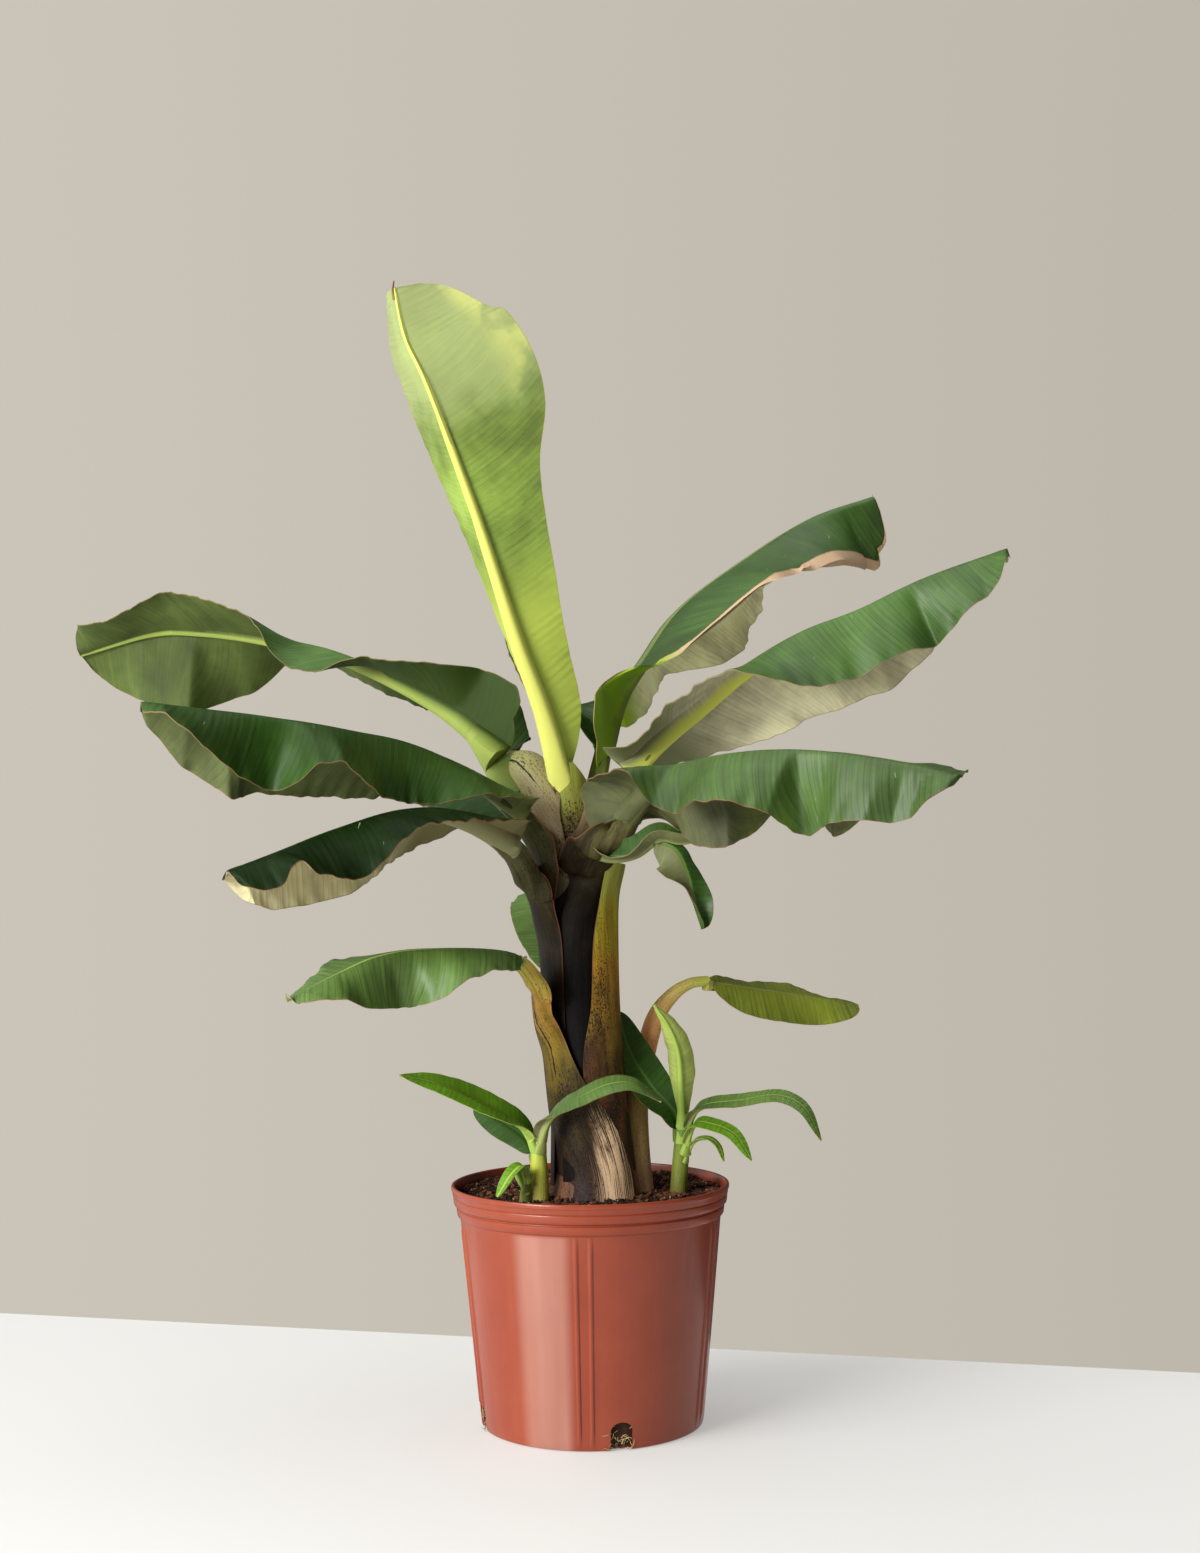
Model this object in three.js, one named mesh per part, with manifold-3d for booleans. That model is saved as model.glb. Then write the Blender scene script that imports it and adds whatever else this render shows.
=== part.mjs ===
// A young banana plant in a nursery pot. Millimetres, +Z up, the origin at the centre of the pot's flat underside.
// The plant's front looks towards -Y.
import * as THREE from "three";
import Module from "manifold-3d";
import { mergeVertices } from "three/addons/utils/BufferGeometryUtils.js";

// The pot: a ten inch grower pot.
const POT_HEIGHT = 216;
const RIM_RADIUS = 127;
const FOOT_RADIUS = 101;
const WALL = 2.2;
const FLOOR = 2.5;
const LIP_HEIGHT = 4;
const BAND_BOTTOM = 198;
const RING_BOTTOM = 188;
const RIB_PAIRS = 5;
const FIRST_RIB_DEG = -93;
const RIB_SPREAD = 6;
const RIB_WIDTH = 2.4;
const RIB_PROUD = 1.4;
const HOLES = 4;
const FIRST_HOLE_DEG = -75.5;
const HOLE_WIDTH = 20;
const HOLE_HEIGHT = 25;

// The soil fills the pot to below the rim.
const SOIL_TOP = 202;
const GAP = 0.3;

// The trunk of wrapped leaf sheaths: its centre and half width at rising heights.
const TRUNK = [
  { at: [4, 2, 190], wide: 41, deep: 39 },
  { at: [4, 2, 206], wide: 39, deep: 37 },
  { at: [4, 2, 228], wide: 34, deep: 34 },
  { at: [0, 1, 282], wide: 34, deep: 34 },
  { at: [-6, 0, 365], wide: 34, deep: 34 },
  { at: [-8, 0, 418], wide: 35, deep: 34 },
  { at: [-9, 0, 458], wide: 36, deep: 34 },
  { at: [-10, 0, 490], wide: 36, deep: 33 },
  { at: [-13, 0, 520], wide: 32, deep: 30 },
  { at: [-15, 0, 548], wide: 25, deep: 25 },
  { at: [-16, 0, 572], wide: 18, deep: 19 },
];

// Long sheaths that lie on the trunk.
const SHEATHS = [
  { // to the small left leaf
    path: [[26, -20, 196], [8, -33, 250], [-14, -37, 305], [-32, -38, 355], [-43, -44, 388]],
    wide: [16, 19, 18, 15, 10], deep: [9, 9, 9, 9, 9], facing: [-0.4, -1, 0],
  },
  { // to the curled right leaf
    path: [[30, -18, 200], [26, -22, 290], [18, -26, 365], [17, -28, 418], [19, -34, 462], [25, -46, 500]],
    wide: [13, 13, 13, 13, 13, 11], deep: [10, 9, 9, 9, 9, 8], facing: [0.5, -1, 0],
  },
  { // to the lower left leaf
    path: [[-22, -14, 380], [-28, -18, 430], [-36, -24, 470], [-48, -38, 505]],
    wide: [20, 20, 19, 13], deep: [14, 14, 14, 12], facing: [-0.8, -1, 0],
  },
];

// Leaves. The path runs along the midrib from the trunk to the tip.
// petiole: share of the length before the blade. rib: half thickness of the midrib at root, blade and tip.
// width, lift, curl, wave and roll hold a value for the left half, then one for the right half.
// lift: degrees that a half is raised along the blade. curl and roll bend it further towards its margin.
const LEAVES = [
  {
    name: "leaf_top", fine: 4, up: [0, 1, 0], petiole: 0.05, rib: [11, 9, 1.5], width: [104, 60],
    path: [[-15, 0, 560], [-35, -25, 640], [-60, -45, 710], [-95, -70, 820], [-135, -90, 930],
      [-155, -90, 975], [-165, -90, 1020]],
    fullest: 0.7, blunt: [0.4, 0.38],
    lift: [[10, 15, 40, 50, 52, 52, 46, 26, 10, 10, 10], [85, 85, 85, 83, 80, 78, 76, 74, 73, 75, 80]],
    curl: [[10, 10, 0, 0, -10, -20], [0, 0]],
  },
  {
    name: "leaf_upper_left", fine: 4, petiole: 0.06, rib: [12, 8, 1.5], width: [70, 94],
    path: [[-30, 0, 555], [-75, 20, 610], [-140, 50, 665], [-240, 100, 715], [-320, 135, 735],
      [-385, 160, 745], [-440, 175, 745], [-515, 190, 725]],
    fullest: 0.5, blunt: [0.3, 0.32],
    lift: [[60, 58, 50, 20, -8, -22, -14, 20, 32, 30, 20], [50, 40, 0, -10, 0, 6, 3, -72, -75, -65, -50]],
    curl: [[0, 0, 0, -10, -10, 0, 0, 0], [-10, -10, -10, 0]], wave: [[8, 6, 0.1], [10, 5, 0.3]],
  },
  {
    name: "leaf_mid_left", fine: 4, petiole: 0.12, rib: [12, 8, 1.5], width: [74, 82],
    path: [[-25, -10, 520], [-60, -30, 560], [-100, -60, 590], [-155, -95, 615], [-205, -130, 625],
      [-270, -165, 635], [-320, -190, 640], [-365, -205, 645]],
    fullest: 0.5, blunt: [0.35, 0.35],
    lift: [[0, -8, -28, -42, -46, -25, -27, -60, -51, -28, -10],
      [-20, -40, -50, -55, -60, -62, -66, -75, -80, -50, -30]],
    curl: [[-10, -10], [-10, -10]], wave: [[8, 7, 0.75], [10, 6, 0.3]],
  },
  {
    name: "leaf_lower_left", fine: 4, petiole: 0.22, rib: [14, 8, 1.5], width: [62, 62],
    path: [[-35, -25, 460], [-50, -45, 505], [-75, -75, 535], [-120, -110, 555], [-160, -145, 555],
      [-205, -185, 540], [-250, -225, 520], [-285, -255, 505]],
    fullest: 0.5, blunt: [0.35, 0.35],
    lift: [[0, -2, -4, -8, -12, -24, -50, -52, -36, -15, -45],
      [-5, -10, -20, -30, -45, -60, -78, -68, -75, -66, -50]],
    curl: [[-10, -10], [-10, -10]], wave: [[10, 5, 0.93], [10, 6, 0.3]],
  },
  {
    name: "leaf_small_left", fine: 3, petiole: 0.22, rib: [12, 6, 1.5], width: [52, 50],
    path: [[-40, -50, 375], [-50, -60, 410], [-75, -75, 430], [-140, -105, 435], [-180, -125, 430],
      [-215, -140, 415], [-255, -150, 395]],
    fullest: 0.45, blunt: [0.36, 0.34],
    lift: [[-20, -25, -30, -53, -66, -70, -66, -47, -33, -30, -30],
      [-20, -20, -20, -15, -10, -5, 0, 10, 15, 10, 0]],
    curl: [[-10, -10], [-10, -10]], wave: [[10, 5, 0.1], [10, 5, 0.3]],
  },
  {
    name: "leaf_upper_right", fine: 4, petiole: 0.13, rib: [10, 7, 1.5], width: [80, 84],
    path: [[0, 10, 560], [15, 40, 620], [30, 65, 665], [55, 90, 705], [95, 125, 760],
      [165, 170, 815], [235, 205, 860], [300, 230, 885]],
    fullest: 0.55, blunt: [0.3, 0.17],
    lift: [[-20, -60, -80, -80, -80, -75, -45, -30, -25, -25, -25],
      [60, 60, -50, -75, -75, -75, -75, -75, -75, -70, -60]],
    wave: [[10, 4, 0.1], [10, 4, 0.3]], roll: [[0, 0], [0, 0, 160, 190, 190, 190, 190, 190, 190, 170]],
  },
  {
    name: "leaf_second_right", fine: 4, petiole: 0.12, rib: [13, 9, 1.5], width: [86, 74],
    path: [[5, -5, 548], [50, -10, 610], [105, -20, 655], [145, -30, 685], [195, -40, 715],
      [250, -45, 735], [305, -55, 760], [380, -65, 785]],
    fullest: 0.45, blunt: [0.3, 0.27],
    lift: [[-10, -20, -35, -50, -52, -52, -70, -58, -40, -30, -30],
      [15, 15, 15, 12, -20, -50, -56, -56, -70, -55, -45]],
    curl: [[0, -10, -10, -10], [0, 0]], wave: [[10, 5, 0.1], [10, 6, 0.3]],
  },
  {
    name: "leaf_third_right", fine: 4, petiole: 0.2, rib: [14, 8, 1.5], width: [80, 70],
    path: [[10, -28, 485], [25, -50, 520], [50, -85, 560], [75, -120, 590], [130, -165, 600],
      [185, -200, 600], [240, -240, 590], [300, -270, 575]],
    fullest: 0.5, blunt: [0.3, 0.34],
    lift: [[-20, -36, -48, -75, -75, -45, -42, -62, -38, -30, -20],
      [20, -30, -40, -30, -38, -48, -76, -60, -60, -36, -20]],
    curl: [[-10, -10, -10, 0], [0, -10, -10, 0]], wave: [[8, 5, 0.1], [8, 7, 0.3]],
  },
  {
    name: "leaf_curled_right", fine: 2, petiole: 0.15, rib: [7, 5, 1.2], width: [24, 26], soft: 4,
    path: [[25, -50, 490], [15, -70, 505], [30, -90, 515], [60, -105, 525], [85, -110, 510],
      [90, -115, 480], [100, -120, 450]],
    fullest: 0.5, blunt: [0.3, 0.4],
    lift: [[0, 10, 0, -60, -60, -30], [50, 60, 30, -40, -50, -30]],
  },
  {
    name: "leaf_small_right", fine: 2, petiole: 0.03, rib: [5, 4.5, 1.2], width: [26, 32], soft: 5,
    path: [[112, 71, 394], [135, 82, 390], [160, 95, 385], [215, 120, 375], [265, 140, 365]],
    fullest: 0.5, blunt: [0.35, 0.35],
    lift: [[20, 20, 10], [-60, -70, -50]], curl: [[0, 0], [-10, -10]], wave: [[10, 2, 0.1], [10, 2, 0.3]],
  },
  {
    name: "leaf_back_upper", fine: 2, petiole: 0.15, rib: [10, 7, 1.5], width: [30, 44],
    path: [[-20, 10, 560], [-30, 40, 645], [-45, 100, 700], [-55, 190, 740], [-65, 285, 745]],
    fullest: 0.5, blunt: [0.35, 0.35], lift: [[30, 20, 0], [75, 75, 60]], curl: [[0, -20], [0, -20]],
  },
  {
    name: "leaf_back_left", fine: 3, petiole: 0.15, rib: [10, 7, 1.5], width: [52, 52],
    path: [[-25, 10, 520], [-50, 50, 555], [-95, 110, 580], [-150, 190, 600], [-215, 280, 605]],
    fullest: 0.5, blunt: [0.35, 0.35], lift: [[-20, -30, -30], [-20, -30, -30]], curl: [[0, -20], [0, -20]],
  },
  {
    name: "leaf_back_right", fine: 3, petiole: 0.15, rib: [10, 7, 1.5], width: [52, 52],
    path: [[10, 10, 510], [35, 60, 555], [75, 130, 585], [130, 220, 600], [190, 310, 595]],
    fullest: 0.5, blunt: [0.35, 0.35], lift: [[-10, -30, -30], [-10, -30, -30]], curl: [[0, -20], [0, -20]],
  },
  {
    name: "leaf_back_low", fine: 2, petiole: 0.15, rib: [11, 8, 1.5], width: [42, 50],
    path: [[-15, 25, 370], [-20, 55, 415], [-30, 105, 450], [-40, 165, 475], [-45, 235, 485]],
    fullest: 0.45, blunt: [0.35, 0.35], lift: [[-5, -10, -10], [10, 10, 0]], curl: [[0, -20], [0, -20]],
  },
  {
    name: "pup_left_leaf_long", fine: 1, petiole: 0.08, rib: [4, 3, 1], width: [14, 16], soft: 3,
    path: [[-46, -30, 250], [-58, -38, 272], [-78, -52, 286], [-108, -68, 304], [-134, -78, 316],
      [-166, -84, 324]],
    fullest: 0.38, blunt: [0.4, 0.6], lift: [[20, 10, -30, -30], [40, 50, 20, 0]],
  },
  {
    name: "pup_left_leaf_back", fine: 1, petiole: 0.1, rib: [4, 3, 1], width: [14, 12], soft: 3,
    path: [[-47, -28, 240], [-60, -8, 258], [-82, 14, 270], [-106, 34, 282]],
    fullest: 0.5, blunt: [0.4, 0.4], lift: [[-20, -30, -30], [20, 20, 0]],
  },
  {
    name: "pup_left_leaf_front", fine: 1, petiole: 0.06, rib: [4, 3, 1], width: [12, 13], soft: 3,
    path: [[-46, -32, 250], [-38, -46, 278], [-24, -62, 292], [-4, -76, 304], [18, -82, 314],
      [40, -82, 314], [64, -78, 298]],
    fullest: 0.4, blunt: [0.4, 0.5], lift: [[20, 10, 10, 0], [-40, -30, -20, -20]],
  },
  {
    name: "pup_low_leaf", fine: 1, petiole: 0.08, rib: [3, 2.5, 1], width: [8, 8], soft: 2,
    path: [[-54, -42, 224], [-60, -46, 238], [-70, -56, 232], [-82, -66, 214]],
    fullest: 0.5, blunt: [0.4, 0.5], lift: [[10, 10, 0], [20, 20, 0]],
  },
  {
    name: "pup_right_leaf_dark", fine: 1, petiole: 0.08, rib: [4, 3, 1], width: [17, 17], soft: 3,
    up: [0.3, -1, 0.3], path: [[83, -6, 254], [76, -4, 280], [60, 2, 298], [44, 8, 322], [34, 12, 344],
      [28, 16, 370]],
    fullest: 0.5, blunt: [0.4, 0.5], lift: [[20, 10, 10], [20, 10, 10]],
  },
  {
    name: "pup_right_leaf_upright", fine: 1, petiole: 0.1, rib: [4, 3, 1], width: [16, 18], soft: 3,
    up: [0.2, 1, 0], path: [[85, -6, 252], [84, -10, 296], [82, -12, 332], [74, -14, 356], [60, -16, 378]],
    fullest: 0.58, blunt: [0.6, 0.5], lift: [[40, 35, 40], [40, 35, 40]], curl: [[40, 40], [40, 40]],
  },
  {
    name: "pup_right_leaf_arching", fine: 1, petiole: 0.08, rib: [4, 2.5, 1], width: [10, 11], soft: 3,
    path: [[85, -5, 250], [92, -12, 276], [104, -24, 288], [136, -42, 294], [168, -58, 300],
      [190, -70, 290], [204, -78, 262]],
    fullest: 0.4, blunt: [0.4, 0.6], lift: [[30, 10, 0, 0], [-30, -30, -30, -20]],
  },
  {
    name: "pup_right_leaf_drooping", fine: 1, petiole: 0.08, rib: [4, 2.5, 1], width: [9, 10], soft: 3,
    path: [[85, -9, 244], [94, -20, 270], [110, -34, 272], [130, -46, 264], [144, -56, 242]],
    fullest: 0.4, blunt: [0.4, 0.6], lift: [[20, 10, 0], [-30, -30, -30]],
  },
];

// Round stems: the shoot and stalk of the small right leaf, and the stems of the young side shoots.
const STEMS = [
  { name: "shoot_right", sides: 10, path: [[42, 12, 196], [40, 15, 240], [42, 22, 285], [50, 32, 325]],
    radius: [14, 11, 10, 9] },
  { name: "stalk_small_right", sides: 10, radius: [9, 8.5, 7, 5.5, 5],
    path: [[50, 32, 325.4], [62, 42, 360], [78, 54, 381], [96, 64, 392], [111.5, 70.8, 394.2]] },
  { name: "pup_left_stem", sides: 10, path: [[-46, -30, 196], [-46, -30, 225], [-46, -30, 256]],
    radius: [8.5, 8.5, 6.5] },
  { name: "pup_low_stem", sides: 8, path: [[-59, -36, 196], [-58, -38, 214], [-54, -42, 232]],
    radius: [5, 4.5, 3.5] },
  { name: "pup_right_stem", sides: 10, path: [[80, -5, 196], [82, -5, 226], [85, -6, 262]],
    radius: [7.5, 7.5, 7] },
];

const COLOURS = { pot: 0xa5553f, soil: 0x33241c, trunk: 0x4a3a26, leaf: 0x4d8a3d, stem: 0x93a04a };

const wasm = await Module();
wasm.setup();

// A geometry as a solid, without the flat triangles that a lathe leaves on its axis.
function solidFrom(geometry) {
  const bare = new THREE.BufferGeometry();
  const loose = geometry.index ? geometry.toNonIndexed() : geometry;
  bare.setAttribute("position", loose.getAttribute("position"));
  const merged = mergeVertices(bare, 1e-4);
  const kept = [];
  const index = merged.index.array;
  for (let i = 0; i < index.length; i += 3) {
    const [a, b, c] = [index[i], index[i + 1], index[i + 2]];
    if (a !== b && b !== c && c !== a) kept.push(a, b, c);
  }
  const reversed = (list) => list.map((_, i) => list[i - (i % 3) + (2 - (i % 3))]);
  const make = (triangles) => new wasm.Manifold(new wasm.Mesh({
    numProp: 3,
    vertProperties: merged.attributes.position.array,
    triVerts: new Uint32Array(triangles),
  }));
  const made = make(kept);
  return made.volume() < 0 ? make(reversed(kept)) : made;
}

// A skin through rings of the same number of points, closed at both ends.
function loft(rings) {
  const count = rings[0].length;
  const points = rings.flat().flat();
  const faces = [];
  for (let i = 0; i + 1 < rings.length; i++) {
    for (let j = 0; j < count; j++) {
      const next = (j + 1) % count;
      const [a, b, c, d] = [i * count + j, i * count + next, (i + 1) * count + next, (i + 1) * count + j];
      faces.push(a, b, c, a, c, d);
    }
  }
  const last = (rings.length - 1) * count;
  for (let j = 0; j < count / 2 - 1; j++) {
    const [a, b, c, d] = [j, j + 1, count - 2 - j, count - 1 - j];
    faces.push(a, c, b, a, d, c);
    faces.push(last + a, last + b, last + c, last + a, last + c, last + d);
  }
  const geometry = new THREE.BufferGeometry();
  geometry.setAttribute("position", new THREE.Float32BufferAttribute(points, 3));
  geometry.setIndex(faces);
  return solidFrom(geometry);
}

// The value at a share of the way along evenly spaced values, on a smooth curve through them.
function along(values, share) {
  const n = values.length - 1;
  const place = Math.min(Math.max(share, 0), 1) * n;
  const i = Math.min(Math.floor(place), n - 1);
  const f = place - i;
  const before = i > 0 ? values[i - 1] : 2 * values[0] - values[1];
  const after = i + 2 <= n ? values[i + 2] : 2 * values[n] - values[n - 1];
  const [p, q] = [values[i], values[i + 1]];
  return p + 0.5 * f * (q - before + f * (2 * before - 5 * p + 4 * q - after
    + f * (3 * (p - q) + after - before)));
}

const alongPath = (path, share) => new THREE.Vector3(
  along(path.map((p) => p[0]), share),
  along(path.map((p) => p[1]), share),
  along(path.map((p) => p[2]), share),
);

// Places along a path by share of its length, each with the direction there.
function walk(path) {
  const steps = 200;
  const spots = Array.from({ length: steps + 1 }, (_, i) => alongPath(path, i / steps));
  const reach = [0];
  for (let i = 1; i <= steps; i++) reach.push(reach[i - 1] + spots[i].distanceTo(spots[i - 1]));
  const length = reach[steps];
  const place = (share) => {
    const goal = share * length;
    let i = reach.findIndex((r) => r >= goal);
    i = Math.max(i, 1);
    const f = (goal - reach[i - 1]) / (reach[i] - reach[i - 1]);
    const t = (i - 1 + f) / steps;
    const ahead = alongPath(path, Math.min(t + 0.001, 1));
    const behind = alongPath(path, Math.max(t - 0.001, 0));
    return { spot: alongPath(path, t), heading: ahead.sub(behind).normalize() };
  };
  return { length, place };
}

// The direction square to a heading that lies nearest to a wanted one.
const squared = (wanted, heading) =>
  wanted.clone().addScaledVector(heading, -wanted.dot(heading)).normalize();

const between = (values, share) =>
  share < values[1].share
    ? values[0].value + (values[1].value - values[0].value) * (share / values[1].share)
    : values[1].value + (values[2].value - values[1].value)
      * ((share - values[1].share) / (1 - values[1].share));

// How wide a blade is at a share of its length, as a share of its full width.
function outline(share, fullest, blunt) {
  const q = Math.min(Math.max(share, 0), 1) ** (Math.log(0.5) / Math.log(fullest));
  return (4 * q * (1 - q)) ** (blunt[0] + (blunt[1] - blunt[0]) * share);
}

// How far out and up a half has come at a share of its width, and how steep it is there.
function across(width, lift, curl, roll, soft, share) {
  const steps = 12;
  const steep = (m) => lift * Math.min(1, (m * width) / soft) + curl * m + roll * m ** 3;
  let [out, up] = [0, 0];
  for (let i = 0; i < steps; i++) {
    const angle = steep((share * (i + 0.5)) / steps);
    out += ((width * share) / steps) * Math.cos(angle);
    up += ((width * share) / steps) * Math.sin(angle);
  }
  return { out, up, angle: steep(share) };
}

// One leaf as a closed solid, its stalk, midrib and both halves of the blade. Extra grows it on all sides.
function leaf(spec, extra) {
  const { length, place } = walk(spec.path);
  const wanted = new THREE.Vector3(...(spec.up || [0, 0, 1]));
  const soft = spec.soft || 10;
  const thin = Math.max(0.0115 * length, 1.5) + 2 * extra;
  const start = spec.petiole;
  const stations = [0, start * 0.35, start * 0.7];
  const count = [0, 7, 10, 13, 17][spec.fine];
  for (let i = 0; i < count; i++) {
    stations.push(start + (1 - start) * 0.5 * (1 - Math.cos((Math.PI * i) / (count - 1))));
  }
  const rings = stations.map((share) => {
    const { spot, heading } = place(share);
    spot.addScaledVector(heading, extra * (2 * share - 1));
    const normal = squared(wanted, heading);
    const left = new THREE.Vector3().crossVectors(normal, heading);
    const t = (share - start) / (1 - start);
    const rib = extra + between([
      { value: spec.rib[0] },
      { value: spec.rib[1], share: start },
      { value: spec.rib[2] },
    ], share);
    const upper = [];
    const lower = [];
    for (const half of [0, 1]) {
      const side = half ? -1 : 1;
      const blade = t > 0 ? spec.width[half] * outline(t, spec.fullest, spec.blunt) + extra : 0;
      const width = Math.max(rib, blade);
      const wave = spec.wave ? spec.wave[half] : [0, 0, 0];
      const ripple = wave[0] * Math.sin(2 * Math.PI * (wave[1] * t + wave[2]));
      const lift = t > 0 ? along(spec.lift[half], t) : 30;
      const curl = t > 0 && spec.curl ? along(spec.curl[half], t) : 0;
      const roll = t > 0 && spec.roll ? along(spec.roll[half], t) : 0;
      const edge = Math.min(Math.max((1.2 * rib) / width, 0.12), 0.6);
      for (let k = half; k <= spec.fine; k++) {
        const s = k === 0 ? 0 : spec.fine === 1 ? 1 : edge + ((1 - edge) * (k - 1)) / (spec.fine - 1);
        const bend = (t > 0 ? curl + ripple : 0) * (Math.PI / 180);
        const { out, up, angle } = across(width, (lift * Math.PI) / 180, bend, (roll * Math.PI) / 180, soft, s);
        const middle = spot.clone().addScaledVector(left, side * out).addScaledVector(normal, up);
        const face = normal.clone().multiplyScalar(Math.cos(angle))
          .addScaledVector(left, -side * Math.sin(angle));
        if (k === 0) face.copy(normal);
        const bulge = Math.sqrt(Math.max(0, 1 - ((s * width) / rib) ** 2));
        const depth = thin + Math.max(0, 2 * rib - thin) * bulge;
        const above = middle.clone().addScaledVector(face, thin / 2);
        const below = middle.clone().addScaledVector(face, thin / 2 - depth);
        if (half) {
          upper.push(above);
          lower.push(below);
        } else {
          upper.unshift(above);
          lower.unshift(below);
        }
      }
    }
    return upper.concat(lower.reverse()).map((p) => p.toArray());
  });
  return loft(rings);
}

// A stem or sheath with an oval section. Extra grows it on all sides.
function ovalSweep(path, wide, deep, facing, sides, extra, count) {
  const { place } = walk(path);
  const wanted = new THREE.Vector3(...facing);
  const rings = Array.from({ length: count }, (_, i) => {
    const share = i / (count - 1);
    const { spot, heading } = place(share);
    spot.addScaledVector(heading, extra * (2 * share - 1));
    const normal = squared(wanted, heading);
    const left = new THREE.Vector3().crossVectors(normal, heading);
    const [a, b] = [along(wide, share) + extra, along(deep, share) + extra];
    return Array.from({ length: sides }, (_, j) => {
      const turn = (2 * Math.PI * (j + 0.5)) / sides;
      return spot.clone().addScaledVector(left, a * Math.cos(turn))
        .addScaledVector(normal, b * Math.sin(turn)).toArray();
    });
  });
  return loft(rings);
}

function trunk(extra) {
  const core = loft(TRUNK.map(({ at, wide, deep }) => Array.from({ length: 18 }, (_, j) => {
    const turn = (2 * Math.PI * (j + 0.5)) / 18;
    return [at[0] + (wide + extra) * Math.cos(turn), at[1] + (deep + extra) * Math.sin(turn),
      at[2] + (at === TRUNK[TRUNK.length - 1].at ? extra : 0)];
  })));
  return SHEATHS.reduce(
    (sum, s) => sum.add(ovalSweep(s.path, s.wide, s.deep, s.facing, 12, extra, 9)),
    core,
  );
}

const stem = (s, extra) =>
  ovalSweep(s.path, s.radius, s.radius, [0, -1, 0.2], s.sides, extra, s.path.length + 1);

// Everything that grows is cut off flat just above the soil.
const below = new THREE.BoxGeometry(400, 400, 100).translate(0, 0, SOIL_TOP + GAP - 50);
const ground = solidFrom(below);

// The pot's outside and inside as one turned profile, then its ribs and drain holes.
function turned(profile) {
  const points = profile.map(([r, z]) => new THREE.Vector2(r, z));
  return solidFrom(new THREE.LatheGeometry(points, 48).rotateX(Math.PI / 2));
}

const wallRadius = (z) => FOOT_RADIUS + ((119 - FOOT_RADIUS) * z) / RING_BOTTOM;

function pot() {
  const shell = turned([
    [0, 0], [FOOT_RADIUS - 2, 0], [FOOT_RADIUS, 2],
    [wallRadius(RING_BOTTOM), RING_BOTTOM], [121.5, 189.5], [122.5, 195.5], [121.2, 196.6],
    [122.6, BAND_BOTTOM], [124.6, 200], [125.4, 205.4], [125, 206.2], [125.6, 207],
    [126, POT_HEIGHT - LIP_HEIGHT - 0.6], [RIM_RADIUS, POT_HEIGHT - LIP_HEIGHT],
    [RIM_RADIUS, POT_HEIGHT - 0.8], [RIM_RADIUS - 0.8, POT_HEIGHT], [RIM_RADIUS - 2.6, POT_HEIGHT],
    [RIM_RADIUS - 3.4, POT_HEIGHT - 1.2], [122.6, 200], [119, 196],
    [wallRadius(RING_BOTTOM) - WALL, RING_BOTTOM],
    [wallRadius(FLOOR) - WALL, FLOOR], [0, FLOOR],
  ]);
  const slope = Math.atan2(119 - FOOT_RADIUS, RING_BOTTOM);
  const ribs = [];
  for (let i = 0; i < RIB_PAIRS; i++) {
    const centre = ((FIRST_RIB_DEG + (360 / RIB_PAIRS) * i) * Math.PI) / 180;
    for (const side of [-1, 1]) {
      const rib = new THREE.BoxGeometry(2 * RIB_PROUD, RIB_WIDTH, 176)
        .rotateY(slope)
        .translate(wallRadius(98), side * RIB_SPREAD, 98)
        .rotateZ(centre);
      ribs.push(solidFrom(rib));
    }
  }
  const ribbed = ribs.reduce((sum, rib) => sum.add(rib), shell);
  const door = new THREE.Shape();
  door.moveTo(-HOLE_WIDTH / 2, -5);
  door.lineTo(HOLE_WIDTH / 2, -5);
  door.lineTo(HOLE_WIDTH / 2, HOLE_HEIGHT - 8);
  door.absellipse(0, HOLE_HEIGHT - 8, HOLE_WIDTH / 2, 8, 0, Math.PI, false);
  door.lineTo(-HOLE_WIDTH / 2, -5);
  const cutter = new THREE.ExtrudeGeometry(door, { depth: 16, bevelEnabled: false, curveSegments: 10 })
    .rotateX(Math.PI / 2)
    .rotateZ(Math.PI / 2)
    .translate(FOOT_RADIUS - 8, 0, 0);
  let done = ribbed;
  for (let i = 0; i < HOLES; i++) {
    const turn = ((FIRST_HOLE_DEG + (360 / HOLES) * i) * Math.PI) / 180;
    done = done.subtract(solidFrom(cutter.clone().rotateZ(turn)));
  }
  return done;
}

const soil = turned([
  [0, FLOOR + GAP], [wallRadius(FLOOR) - WALL - 0.5, FLOOR + GAP],
  [wallRadius(RING_BOTTOM) - WALL - 0.4, RING_BOTTOM], [118.5, 196.2], [121.8, SOIL_TOP - 1],
  [121, SOIL_TOP], [0, SOIL_TOP],
]);

const biggest = (solid) =>
  solid.decompose().reduce((best, body) => (body.volume() > best.volume() ? body : best));

const plant = new THREE.Group();
plant.name = "banana_plant";

function put(name, solid, colour, roughness) {
  const mesh = solid.getMesh();
  const geometry = new THREE.BufferGeometry();
  geometry.setAttribute("position", new THREE.BufferAttribute(mesh.vertProperties, 3));
  geometry.setIndex(new THREE.BufferAttribute(mesh.triVerts, 1));
  geometry.computeVertexNormals();
  const piece = new THREE.Mesh(geometry, new THREE.MeshStandardMaterial({ color: colour, roughness }));
  piece.name = name;
  plant.add(piece);
}

put("pot", pot(), COLOURS.pot, 0.45);
put("soil", soil, COLOURS.soil, 0.95);
put("pseudostem", biggest(trunk(0).subtract(ground)), COLOURS.trunk, 0.6);

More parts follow.
